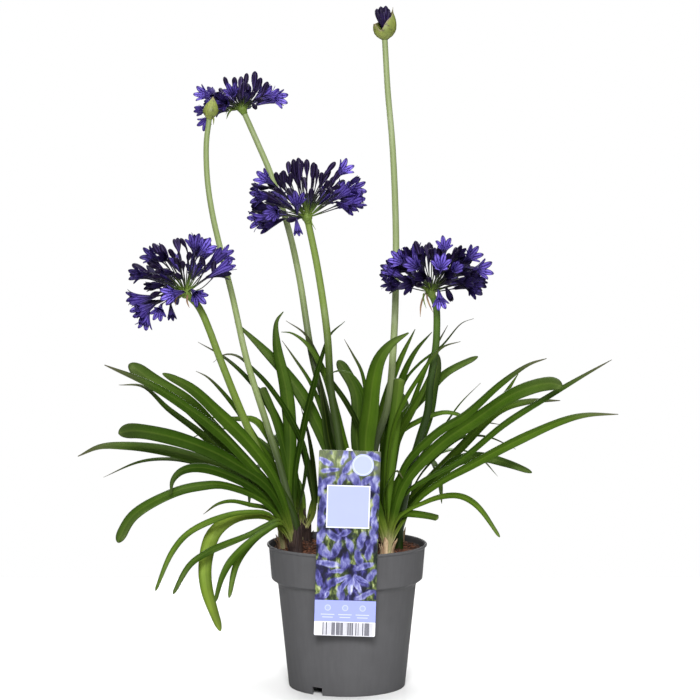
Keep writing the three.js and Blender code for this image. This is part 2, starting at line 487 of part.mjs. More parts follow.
function makeHead({ stem, axis, count, spread, open, reach, droop, seed, low, bracts }) {
  const { at, along } = stemTop(stem);
  const ring = (height, radius) => ringRound(at.clone().addScaledVector(along, height), along, radius, 7, vector(1, 0, 0));
  const knob = loft([ring(CLEARANCE, 3.9), ring(2.6, KNOB_RADIUS), ring(5.4, KNOB_RADIUS - 0.6), ring(8.6, 3.6)],
    { end: at.clone().addScaledVector(along, 10) });
  const heart = at.clone().addScaledVector(along, 3.4);
  const pole = vector(...axis).normalize();
  const [east, north] = across(pole, vector(1, 0, 0));
  const solids = [knob];
  for (let i = 0; i < count; i += 1) {
    const polar = radians(spread) * ((i + 0.5) / count) ** CROWN + 0.16 * (noise(i, seed) - 0.5);
    const azimuth = i * GOLDEN_ANGLE + 0.5 * (noise(i, seed + 1) - 0.5);
    const outward = pole.clone().multiplyScalar(Math.cos(polar))
      .addScaledVector(east, Math.sin(polar) * Math.cos(azimuth))
      .addScaledVector(north, Math.sin(polar) * Math.sin(azimuth));
    const opened = THREE.MathUtils.radToDeg(polar) > open + 16 * (noise(i, seed + 2) - 0.5);
    const size = 0.9 + 0.2 * noise(i, seed + 3);
    const length = (opened ? FLORET.length : BUD.length) * size;
    const distance = mix(reach[0], reach[1], Math.sin(polar) ** 2) * (0.92 + 0.16 * noise(i, seed + 4));
    const joint = heart.clone().addScaledVector(outward, distance - length);
    const facing = outward.clone().addScaledVector(UP, -droop * Math.sin(polar) * (opened ? 1 : 0.4)).normalize();
    const root = heart.clone().addScaledVector(outward, KNOB_RADIUS - 1.3);
    solids.push((opened ? makeFloret : makeBud)(root, joint, facing, size));
  }
  low.forEach(([out, facing]) => {
    const root = heart.clone().addScaledVector(vector(...out).normalize(), KNOB_RADIUS - 1.3);
    solids.push(makeFloret(root, heart.clone().add(vector(...out)), vector(...facing).normalize(), 1));
  });
  return unite([...solids, ...bracts.map((bract) => makeBract(heart, bract))]);
}

// ---------------------------------------------------------------- the two buds in their sheaths
function makeSheath(at, along, profile, lean) {
  const rings = profile.map(([height, wide, deep, shift]) => ringRound(
    at.clone().addScaledVector(along, height).addScaledVector(lean, shift), along, wide, 9, vector(1, 0, 0), deep));
  return rings;
}

function makeClosedBud() {
  const { at, along } = stemTop('stem_closed_bud');
  const lean = vector(1, 0, 0);
  const rings = makeSheath(at, along, [[CLEARANCE, 3.4, 3.4, 0], [3, 6.6, 5.8, 0], [9, 8.7, 7.2, 0.3],
    [15, 7.6, 6, 0.6], [20, 3.9, 3.2, 0.4]], lean);
  const sheath = loft(rings, { end: at.clone().addScaledVector(along, 26.5) });
  const spur = makeBract(at.clone().add(vector(2.5, 0, 5)), [5, [4, 0, -3], [4.6, 0, -14]]);
  return sheath.add(spur);
}

function makeTopBud() {
  const { at, along } = stemTop('stem_top_bud');
  const lean = vector(1, 0, 0);
  const rings = makeSheath(at, along, [[CLEARANCE, 3.6, 3.6, 0], [4, 8.6, 7.4, 0], [11, 12.6, 10, 0.4],
    [18, 12.4, 9.4, 1], [24, 7.6, 6, 4.5], [29, 3.2, 3, 7.5]], lean);
  const sheath = loft(rings, { end: at.clone().add(vector(10.5, 0, 34)) });
  const budFoot = at.clone().addScaledVector(along, 12);
  const tips = [[-9, 0, 33], [-4.5, -5, 35], [1, -2, 36.5], [-3, 5, 35], [5, -5, 31], [-8, -5, 29]];
  return unite([sheath, ...tips.map((tip) => {
    const aim = at.clone().add(vector(...tip)).sub(budFoot);
    return makeBud(budFoot, budFoot.clone().addScaledVector(aim, 0.15), aim.clone().normalize(),
      (0.85 * aim.length()) / BUD.length);
  })]);
}

// ---------------------------------------------------------------- the plant put together
const agapanthus = new THREE.Group();

function addPiece(name, solid, material) {
  const { vertProperties, triVerts } = largestBody(solid.simplify(0.04)).getMesh();
  const geometry = new THREE.BufferGeometry();
  geometry.setAttribute('position', new THREE.BufferAttribute(vertProperties, 3));
  geometry.setIndex(new THREE.BufferAttribute(triVerts, 1));
  const mesh = new THREE.Mesh(geometry, material);
  mesh.name = name;
  agapanthus.add(mesh);
}

// Every stem, fan foot and the label's stake stands in its own plain hole in the soil.
const stemHoles = STEMS.map(({ radius, path: [foot, next] }) => {
  const [low, high] = [vector(...foot), vector(...next)];
  const along = high.clone().sub(low).normalize();
  low.addScaledVector(along, -CLEARANCE);
  high.addScaledVector(along, HOLE_TOP - STEM_UPRIGHT);
  return loft([low, high].map((at) => ringRound(at, along, radius[0] + 3 * CLEARANCE, STEM_SIDES, vector(1, 0, 0))));
});
const fanHoles = FANS.map(({ foot }) => loft([PLANT_BOTTOM - CLEARANCE, HOLE_TOP].map((z) => footRing(
  foot, z, 8 + 1.5 * CLEARANCE, 6 + 1.5 * CLEARANCE))));
const stakeHole = solidFromGeometry(new THREE.BoxGeometry(LABEL.stakeWidth + 1, 8, 50)
  .translate(0, LABEL.stakeFoot - 1, PLANT_BOTTOM + 24));

addPiece('pot', makePot(), potGrey);
addPiece('soil', makeSoil().subtract(wasm.Manifold.union([...stemHoles, ...fanHoles, stakeHole])), soilBrown);
addPiece('plant_label', makeLabel(), labelPrint);
STEMS.forEach((stem) => addPiece(stem.name, makeStem(stem), stemGreen));
FANS.forEach((fan) => addPiece(fan.name, makeFan(fan), leafGreen));
HEADS.forEach((head) => addPiece(head.name, makeHead(head), floretViolet));
addPiece('closed_bud', makeClosedBud(), spatheGreen);
addPiece('top_bud', makeTopBud(), spatheGreen);

export default agapanthus;
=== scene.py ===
"""Agapanthus in its nursery pot: the looks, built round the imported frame.

Sizes are millimetres in the frame's own axes, turned into metres when a mesh is made.
"""
import math

import bmesh
import bpy
import numpy as np
from mathutils import Matrix, Vector


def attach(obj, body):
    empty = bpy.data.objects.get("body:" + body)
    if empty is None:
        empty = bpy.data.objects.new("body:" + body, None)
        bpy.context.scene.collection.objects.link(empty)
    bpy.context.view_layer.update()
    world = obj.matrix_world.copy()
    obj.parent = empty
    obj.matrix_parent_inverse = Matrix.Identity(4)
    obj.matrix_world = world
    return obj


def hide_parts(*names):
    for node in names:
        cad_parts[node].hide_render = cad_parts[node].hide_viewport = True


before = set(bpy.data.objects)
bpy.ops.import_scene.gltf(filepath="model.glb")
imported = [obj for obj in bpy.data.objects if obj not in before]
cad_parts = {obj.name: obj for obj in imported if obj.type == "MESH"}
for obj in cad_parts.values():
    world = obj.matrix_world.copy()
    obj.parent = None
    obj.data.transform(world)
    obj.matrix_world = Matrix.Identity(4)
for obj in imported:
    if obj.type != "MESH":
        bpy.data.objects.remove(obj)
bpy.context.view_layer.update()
MM = 0.001

# ------------------------------------------------------------------ driving dimensions
POT_RIM_RADIUS = 85.0
POT_HEIGHT = 152.5
POT_BASE_RADIUS = 62.3
POT_WALL = 1.6
POT_BAND_BOTTOM = 116.0
POT_FLOOR_UNDERSIDE = 9.5
POT_CORNER_RADIUS = 1.3
POT_SIDES = 144
NOTCH_WIDTH = 12.0
NOTCH_HEIGHT = 8.5
NOTCH_ANGLES = (-150, -30, 90)  # degrees round the pot from its front
DRAIN_RADIUS = 4.5
DRAIN_CIRCLE = 38.0
DRAIN_COUNT = 4

SOIL_TOP = 145.0
SOIL_RADIUS = 78.6
SOIL_BUMP = 2.2
SOIL_SIDES, SOIL_RINGS = 150, 46
LITTER_RADIUS = 73.0            # bark and fibres are strewn this far out
LITTER_STEPS = 40               # over a grid of this many points each way
CHIP_DENSITY = 95000.0          # bits of bark to a square metre
FIBRE_DENSITY = 12000.0
PLANT_BOTTOM = 121.0

LEAF_ROOT = 128.0               # the height in the soil where blades and their dry sheaths start
LEAF_COLLAR = 150.0             # and the height where they begin to part
FAN_DEPTH = 9.0                 # how far apart a fan's first and last blade stand at the foot
HUSK_TOP = 154.0                # the height of the shortest dry sheath
HUSK_ROUND = (7.8, 6.4, 0.0)    # how far from the middle of a fan's foot its dry sheaths stand

LABEL_WIDTH, LABEL_HEIGHT, LABEL_THICKNESS = 63.0, 193.0, 0.8
LABEL_CENTRE = (0.3, 165.0)
LABEL_ROLL = -1.75              # degrees
LABEL_FRONT = -85.9             # where its face is at the height of the rim
LABEL_LEAN = -0.045             # how far forward that moves for each millimetre up
LABEL_CORNER = 1.6
STAKE_WIDTH, STAKE_THICKNESS = 12.0, 1.0
STAKE_FOOT, STAKE_TIP = -70.0, 266.0    # how far forward its foot is, how high its tip

BLADE_ROWS = 46
BLADE_SIDES = 16
HUSK_SIDES = 10
BLADE_THICKNESS = 0.085         # a blade's thickness as a share of its width
STEM_ROWS = 60
STEM_SIDES = 20
STEM_RIBS = 7
STEM_RIB_HEIGHT = 0.018         # as a share of its radius

HEART_HEIGHT = 3.4              # a head's heart over its stem's top: florets point away from it
KNOB_RADIUS = 6.4
STALK_START = KNOB_RADIUS - 1.3     # how far from the heart the florets' stalks start
KNOB_SIDES = 28
KNOB_SECTION = ((-3, 3.4), (-1, 3.7), (0.6, 4.3), (2.2, 5.2), (4.0, 5.6), (5.4, 5.2), (7.2, 4.2),
                (8.6, 2.8), (9.5, 1.0))     # (height over the stem's top, radius)
CROWN = 0.62                    # the power of a floret's share of the spread, 0.5 for an even ball
PETAL_ROWS, PETAL_COLUMNS = 9, 5
PETAL_SKIN = 0.24               # half of a petal's thickness
TUBE_SHARE = 0.4                # how much of a petal's length is joined to the others in a tube
CLOSED_BUD_HEIGHT = 24.5
TOP_BUD_HEIGHT = 34.0
GOLDEN_ANGLE = math.pi * (3 - math.sqrt(5))

# ------------------------------------------------------------------ the leaf fans
# A fan: (its foot's x and y, [its blades]). A blade: (width, degrees turned on edge, how it ends,
# how far back its tip lies, [(x, z) from foot to tip]), and for some how bright its green is, where
# 0 is dark and 1 bright. The few below 0 are near black: partly a dark leaf, partly painted shade
# from the clump round them.
FANS = {
    "leaf_fan_left_front": ((-54, -38), [
        (15, 55, "point", -78, [
            (-74, 205), (-101, 239), (-132, 273), (-167, 302), (-202, 326), (-248, 348)], 0.4),
        (16, 62, "taper", -88, [
            (-76, 222), (-100, 260), (-133, 296), (-160, 323), (-188, 340)], 0.5),
        (16, 65, "round", -100, [
            (-82, 214), (-120, 244), (-155, 263), (-189, 275), (-218, 281), (-232, 280)], 0.25),
        (13, 55, "point", -100, [
            (-88, 206), (-126, 231), (-154, 240), (-170, 238), (-178, 230), (-179, 218)], 0.25),
        (12, 50, "round", -112, [
            (-82, 197), (-126, 220), (-152, 221), (-178, 216), (-217, 195), (-232, 170)], 0.45),
        (6, 45, "point", -70, [(-80, 192), (-101, 199), (-120, 204), (-134, 202), (-148, 193)]),
        (7, 45, "taper", -125, [
            (-80, 189), (-100, 194), (-122, 193), (-160, 178), (-177, 160), (-193, 123)], 0.75),
        (15, 60, "taper", -85, [
            (-82, 183), (-101, 188), (-120, 185), (-138, 171), (-146, 145), (-145, 119),
            (-130, 74)], 1.05),
        (8, 45, "taper", -115, [
            (-70, 183), (-84, 179), (-100, 172), (-142, 156), (-160, 145), (-176, 118)], 0.4),
        (8, 45, "taper", -144, [
            (-69, 180), (-83, 176), (-99, 167), (-118, 150), (-126, 137), (-132, 115)], 0.5),
        (8, 50, "taper", -104, [
            (-71, 178), (-86, 173), (-100, 163), (-113, 144), (-120, 112)], 0.65),
    ]),
    "leaf_fan_left_side": ((-66, -9), [
        (17, 75, "round", -30, [
            (-79, 199), (-108, 236), (-139, 273), (-170, 305), (-206, 328), (-228, 345)], 0.45),
        (10, 45, "point", -15, [
            (-84, 207), (-113, 235), (-139, 256), (-159, 273), (-189, 296), (-215, 320), (-240, 322)]),
        (15, 55, "point", -45, [
            (-81, 196), (-128, 230), (-159, 244), (-194, 254), (-230, 259), (-258, 259),
            (-280, 250)], 0.5),
        (6, 35, "point", -5, [
            (-90, 204), (-124, 225), (-162, 238), (-190, 242), (-220, 239), (-258, 223)]),
    ]),
    "leaf_fan_left_middle": ((-58, 22), [
        (8, 40, "point", 30, [(-77, 227), (-99, 261), (-122, 296), (-149, 326), (-162, 333)]),
        (8, 35, "point", 34, [(-69, 259), (-83, 291), (-103, 320), (-130, 346), (-160, 364)], 0.0),
        (8, 35, "point", 22, [
            (-47, 217), (-45, 246), (-60, 281), (-82, 315), (-99, 334), (-118, 350), (-131, 351),
            (-143, 343)], 0.05),
        (10, 60, "point", 24, [(-66, 219), (-85, 264), (-100, 281), (-119, 282), (-148, 284)]),
        (9, 60, "blunt", 24, [(-63, 206), (-66, 239), (-77, 282), (-91, 316)]),
        (15, 62, "point", 27, [
            (-63, 214), (-61, 264), (-65, 313), (-75, 362), (-75, 387), (-68, 397)]),
        (9, 45, "point", 22, [
            (-54, 226), (-45, 276), (-33, 325), (-26, 350), (-18, 372), (-2, 387)], 0.1),
    ]),
    "leaf_fan_left_back": ((-46, 48), [
        (14, 10, "point", 112, [(-62, 205), (-92, 248), (-130, 264), (-168, 254), (-185, 236)]),
        (14, 5, "round", 146, [(-57, 205), (-66, 240), (-76, 254), (-82, 244), (-84, 222)]),
        (13, -5, "point", 142, [(-34, 188), (-24, 204), (-16, 206), (-10, 188), (-6, 160)]),
        (12, 15, "point", 80, [(-58, 215), (-74, 270), (-92, 305), (-106, 318)]),
        (12, 0, "point", 128, [(-58, 195), (-80, 222), (-96, 222), (-106, 200), (-110, 172)]),
        (13, 0, "round", 146, [(-50, 186), (-56, 204), (-62, 206), (-66, 186), (-68, 156)]),
        (8, 60, "point", 54, [(-36, 180), (-39, 212), (-47, 245), (-58, 275), (-70, 298)], -0.1),
        (9, 70, "point", 56, [(-34, 182), (-35, 225), (-41, 262), (-50, 292)], -0.3),
    ]),
    "leaf_fan_right_front": ((42, -42), [
        (13, 50, "point", -70, [
            (61, 237), (96, 275), (123, 292), (158, 325), (187, 347), (205, 354)]),
        (16, 65, "round", -85, [
            (61, 220), (96, 261), (134, 289), (174, 317), (207, 328), (220, 326)], 0.45),
        (9, 50, "point", -60, [
            (57, 204), (121, 247), (165, 284), (206, 311), (241, 333), (273, 352)], 0.35),
        (12, 50, "point", -95, [
            (73, 201), (96, 222), (129, 242), (175, 268), (221, 290), (244, 297), (276, 299)], 0.6),
        (7, 60, "taper", -140, [
            (55, 187), (84, 206), (101, 213), (115, 215), (126, 212), (136, 204), (153, 180)], 0.75),
        (8, 60, "blunt", -80, [(51, 184), (61, 191), (70, 192), (85, 191), (94, 190)]),
        (6, 50, "point", -60, [(40, 194), (38, 205), (43, 223), (52, 236), (58, 229)]),
        (22, 80, "point", -46, [
            (28, 215), (22, 258), (26, 296), (29, 329), (35, 352), (46, 367), (64, 379)], 0.6),
        (13, 75, "blunt", -38, [(43, 209), (46, 253), (50, 285), (55, 331)]),
        (8, 45, "point", -62, [(43, 226), (47, 268), (56, 299), (73, 330), (98, 364), (117, 371)]),
        (9, 50, "point", -28, [(28, 209), (22, 266), (16, 314), (4, 334), (-8, 338), (-20, 334)]),
    ]),
    "leaf_fan_right_side": ((54, 8), [
        (12, 60, "point", -5, [(67, 221), (99, 251), (130, 275), (156, 295), (181, 333)]),
        (13, 50, "point", -20, [
            (66, 192), (90, 222), (120, 252), (161, 294), (191, 304), (224, 306)]),
        (12, 65, "taper", -30, [
            (66, 188), (90, 215), (114, 239), (137, 246), (167, 240), (194, 231)], 0.3),
        (4, 45, "point", -15, [(74, 216), (100, 248), (125, 266), (150, 266), (178, 254)]),
    ]),
    "leaf_fan_right_middle": ((34, 28), [
        (12, 45, "point", 32, [(29, 210), (31, 256), (45, 311), (58, 346), (73, 378)]),
        (7, 45, "point", 34, [(46, 226), (70, 296), (91, 350), (108, 382)]),
        (11, 45, "point", 30, [(39, 216), (48, 281), (61, 329), (74, 355), (91, 375)]),
        (4, 50, "point", 38, [(46, 232), (61, 319), (76, 339), (102, 360), (123, 384), (136, 389)]),
        (13, 60, "point", 28, [(44, 221), (54, 261), (69, 289), (82, 313), (89, 333)]),
        (10, 75, "round", 34, [
            (52, 200), (64, 222), (80, 262), (89, 290), (93, 315), (96, 335), (95, 353)], 0.15),
        (12, 55, "taper", 40, [
            (50, 226), (54, 256), (60, 279), (72, 294), (88, 311), (107, 330), (141, 348)]),
        (7, 45, "point", 22, [
            (47, 227), (52, 250), (58, 267), (78, 280), (92, 286), (105, 289), (118, 287), (126, 283),
            (165, 276)]),
        (3, 45, "point", 44, [(53, 204), (84, 247), (102, 269), (122, 297), (144, 319)]),
        (15, 62, "point", 47, [
            (-2, 200), (-22, 250), (-45, 299), (-66, 329), (-93, 358), (-121, 385)]),
        (6, 60, "point", 42, [(-4, 210), (-17, 258), (-38, 317), (-58, 348), (-70, 365)]),
        (7, 40, "point", 50, [
            (27, 221), (15, 265), (-2, 299), (-23, 329), (-45, 371), (-66, 386)], -0.1),
        (9, 55, "point", 46, [
            (5, 226), (-13, 290), (-24, 328), (-43, 361), (-60, 373), (-71, 374)]),
        (12, 60, "point", 38, [(0, 205), (-18, 248), (-25, 291), (-29, 322)], -0.3),
    ]),
    "leaf_fan_right_back": ((36, 52), [
        (6, 40, "point", 62, [(27, 223), (23, 278), (16, 329), (6, 349), (-3, 365)]),
        (13, 60, "round", 66, [(16, 212), (10, 260), (11, 285), (8, 310), (-10, 342)]),
        (14, 5, "round", 147, [(40, 220), (46, 275), (52, 302), (60, 292), (66, 268)]),
        (14, 10, "point", 118, [(60, 200), (90, 232), (118, 240), (146, 230), (168, 208)]),
        (11, 15, "point", 84, [(46, 220), (56, 262), (66, 286), (76, 300)]),
        (12, 0, "point", 130, [(52, 200), (76, 230), (92, 228), (102, 205), (106, 176)]),
        (13, 0, "point", 147, [(34, 195), (34, 222), (36, 226), (40, 198), (44, 160)]),
    ]),
}

# The dry sheaths of the clumps: (colour, (how many round a fan's foot, how much their heights differ)).
HUSKS = {
    "left": ("purple", (14, 30)),
    "right": ("straw", (9, 26)),
    "leaf_fan_left_side": ("brown", (9, 26)),
}

# ------------------------------------------------------------------ the flower stems
# (radius at the foot, radius at the top, how bright its green is, the height below which shade is
# painted on it, [points from soil to top]).
STEMS = {
    "stem_low_left": (4.6, 3.6, 0.3, 265, [
        (-50, -20, 121), (-52, -20, 150), (-55, -20, 180), (-75, -24, 221), (-92, -28, 252), (-110, -32, 294),
        (-133, -39, 354), (-143, -42, 382), (-150, -43, 399), (-156, -44, 409), (-164, -45, 417)]),
    "stem_closed_bud": (3.9, 2.9, 0.9, 300, [
        (-49, 3, 121), (-52, 3, 150), (-57, 3, 177), (-70, 4, 229), (-87, 6, 284), (-106, 8, 345),
        (-122, 11, 416), (-134, 14, 463), (-143, 15, 503), (-148, 17, 538), (-149, 19, 576),
        (-146, 20, 601)]),
    "stem_high_left": (4.2, 3.1, 0.95, 408, [
        (-14, 38, 121), (-14, 39, 150), (-14, 42, 193), (-18, 50, 267), (-38, 60, 347), (-52, 71, 432),
        (-64, 78, 485), (-84, 86, 546), (-96, 90, 574), (-113, 95, 612)]),
    "stem_centre": (4.6, 3.6, 0.6, 392, [
        (-2, 1, 121), (-3, 1, 150), (-4, 0, 177), (-8, -3, 257), (-17, -4, 316), (-21, -6, 376),
        (-31, -8, 445), (-41, -10, 494)]),
    "stem_top_bud": (4.3, 3.1, 1.0, 330, [
        (16, 8, 121), (18, 8, 150), (20, 8, 175), (31, 11, 258), (43, 12, 296), (50, 15, 373), (52, 17, 459),
        (51, 19, 515), (48, 21, 576), (43, 23, 633), (40, 25, 685)]),
    "stem_low_right": (4.5, 3.6, 0.0, 380, [
        (54, -15, 121), (55, -15, 150), (56, -16, 174), (69, -25, 241), (76, -28, 267), (84, -32, 295),
        (87, -36, 328), (91, -40, 354), (93, -42, 376), (92, -47, 408), (88, -48, 418)]),
}

